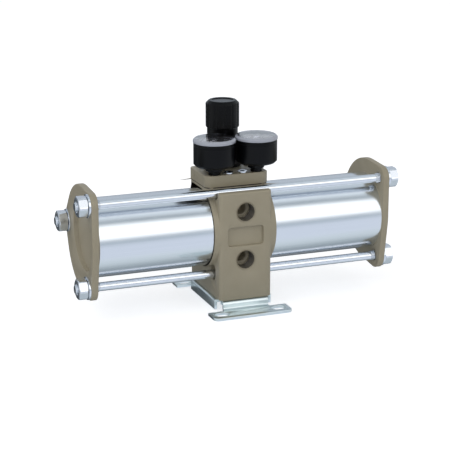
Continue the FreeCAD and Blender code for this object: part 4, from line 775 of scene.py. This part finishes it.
def build_world():
    """Even room for matt surfaces, white to the eye, and the studio's bands where metal mirrors it."""
    world = bpy.data.worlds.new("studio")
    bpy.context.scene.world = world
    world.use_nodes = True
    tree = world.node_tree
    tree.nodes.clear()
    path = add(tree, "ShaderNodeLightPath")
    place = add(tree, "ShaderNodeTexCoord")
    split = add(tree, "ShaderNodeSeparateXYZ", None, None, {0: place.outputs["Generated"]})
    front = add(tree, "ShaderNodeMath", {"operation": "MULTIPLY"}, {1: -1.0}, {0: split.outputs["Y"]})
    turn = add(tree, "ShaderNodeMath", {"operation": "ARCTAN2"}, None, {0: split.outputs["Z"], 1: front.outputs[0]})
    level = add(tree, "ShaderNodeMapRange", None, {"From Min": -math.pi, "From Max": math.pi},
                {"Value": turn.outputs[0]})
    ramp = add(tree, "ShaderNodeValToRGB", None, None, {"Fac": level.outputs["Result"]})
    strongest = max(strength for _, _, strength in STUDIO)
    while len(ramp.color_ramp.elements) < len(STUDIO):
        ramp.color_ramp.elements.new(0.5)
    for element, (angle, code, strength) in zip(ramp.color_ramp.elements, STUDIO):
        element.position = (angle + 180) / 360
        element.color = [share * strength / strongest for share in linear(code)[:3]] + [1.0]
    sideways = add(tree, "ShaderNodeMath", {"operation": "ABSOLUTE"}, None, {0: split.outputs["X"]})
    end = add(tree, "ShaderNodeMapRange", None, {"From Min": STUDIO_END_FROM, "From Max": STUDIO_END_TO},
              {"Value": sideways.outputs[0]})
    bands = add(tree, "ShaderNodeBackground", None, {"Strength": strongest}, {"Color": ramp.outputs["Color"]})
    plain = add(tree, "ShaderNodeBackground", None, {"Color": linear(STUDIO_END), "Strength": 1.0})
    mirrored = add(tree, "ShaderNodeMixShader", None, None,
                   {0: end.outputs["Result"], 1: bands.outputs[0], 2: plain.outputs[0]})
    room = add(tree, "ShaderNodeBackground", None, {"Color": (1, 1, 1, 1), "Strength": ROOM_LEVEL})
    lit = add(tree, "ShaderNodeMixShader", None, None,
              {0: path.outputs["Is Glossy Ray"], 1: room.outputs[0], 2: mirrored.outputs[0]})
    through = add(tree, "ShaderNodeMath", {"operation": "MAXIMUM"}, None,
                  {0: path.outputs["Is Camera Ray"], 1: path.outputs["Is Transmission Ray"]})
    white = add(tree, "ShaderNodeBackground", None, {"Color": (1, 1, 1, 1), "Strength": 1.0})
    mixed = add(tree, "ShaderNodeMixShader", None, None,
                {0: through.outputs[0], 1: lit.outputs[0], 2: white.outputs[0]})
    out = add(tree, "ShaderNodeOutputWorld")
    tree.links.new(mixed.outputs[0], out.inputs["Surface"])


def soft_box(name, azimuth, elevation, distance, width, height, power):
    """Square soft box for the matt surfaces, facing the object from a direction in degrees."""
    lamp = bpy.data.lights.new(name, "AREA")
    lamp.shape = "RECTANGLE"
    lamp.size = width
    lamp.size_y = height
    lamp.energy = power
    made = bpy.data.objects.new(name, lamp)
    bpy.context.scene.collection.objects.link(made)
    turn = math.radians(azimuth)
    rise = math.radians(elevation)
    away = Vector((math.sin(turn) * math.cos(rise), -math.cos(turn) * math.cos(rise), math.sin(rise)))
    made.location = CAMERA_TARGET + away * distance
    made.rotation_euler = away.to_track_quat("Z", "Y").to_euler()
    made.visible_glossy = False


def build_lights():
    """Broad box in front and above, a smaller one on the left, and a fill behind."""
    soft_box("front_box", -5, 30, 1.8, 2.4, 1.2, FRONT_LIGHT)
    soft_box("left_box", -78, 42, 1.8, 1.4, 1.4, LEFT_LIGHT)
    soft_box("rear_box", 170, 45, 2.2, 2.6, 1.4, REAR_LIGHT)


def build_camera():
    """Camera at the photograph's viewing angle."""
    lens = bpy.data.cameras.new("camera")
    lens.lens = CAMERA_LENS
    lens.sensor_width = CAMERA_SENSOR
    lens.sensor_fit = "HORIZONTAL"
    lens.clip_end = 20.0
    made = bpy.data.objects.new("camera", lens)
    bpy.context.scene.collection.objects.link(made)
    level = math.cos(CAMERA_ELEVATION)
    back = Vector((math.sin(CAMERA_AZIMUTH) * level, -math.cos(CAMERA_AZIMUTH) * level, math.sin(CAMERA_ELEVATION)))
    made.location = CAMERA_TARGET + back * CAMERA_DISTANCE
    made.rotation_euler = back.to_track_quat("Z", "Y").to_euler()
    bpy.context.scene.camera = made


build_camera()
build_stage()
build_world()
build_lights()
dress_nodes()
build_tubes()
build_tie_rods()
build_fasteners()
build_castings()
build_knob()
for side in SIDES:
    build_gauge(side)

bpy.context.scene.view_settings.view_transform = "Standard"
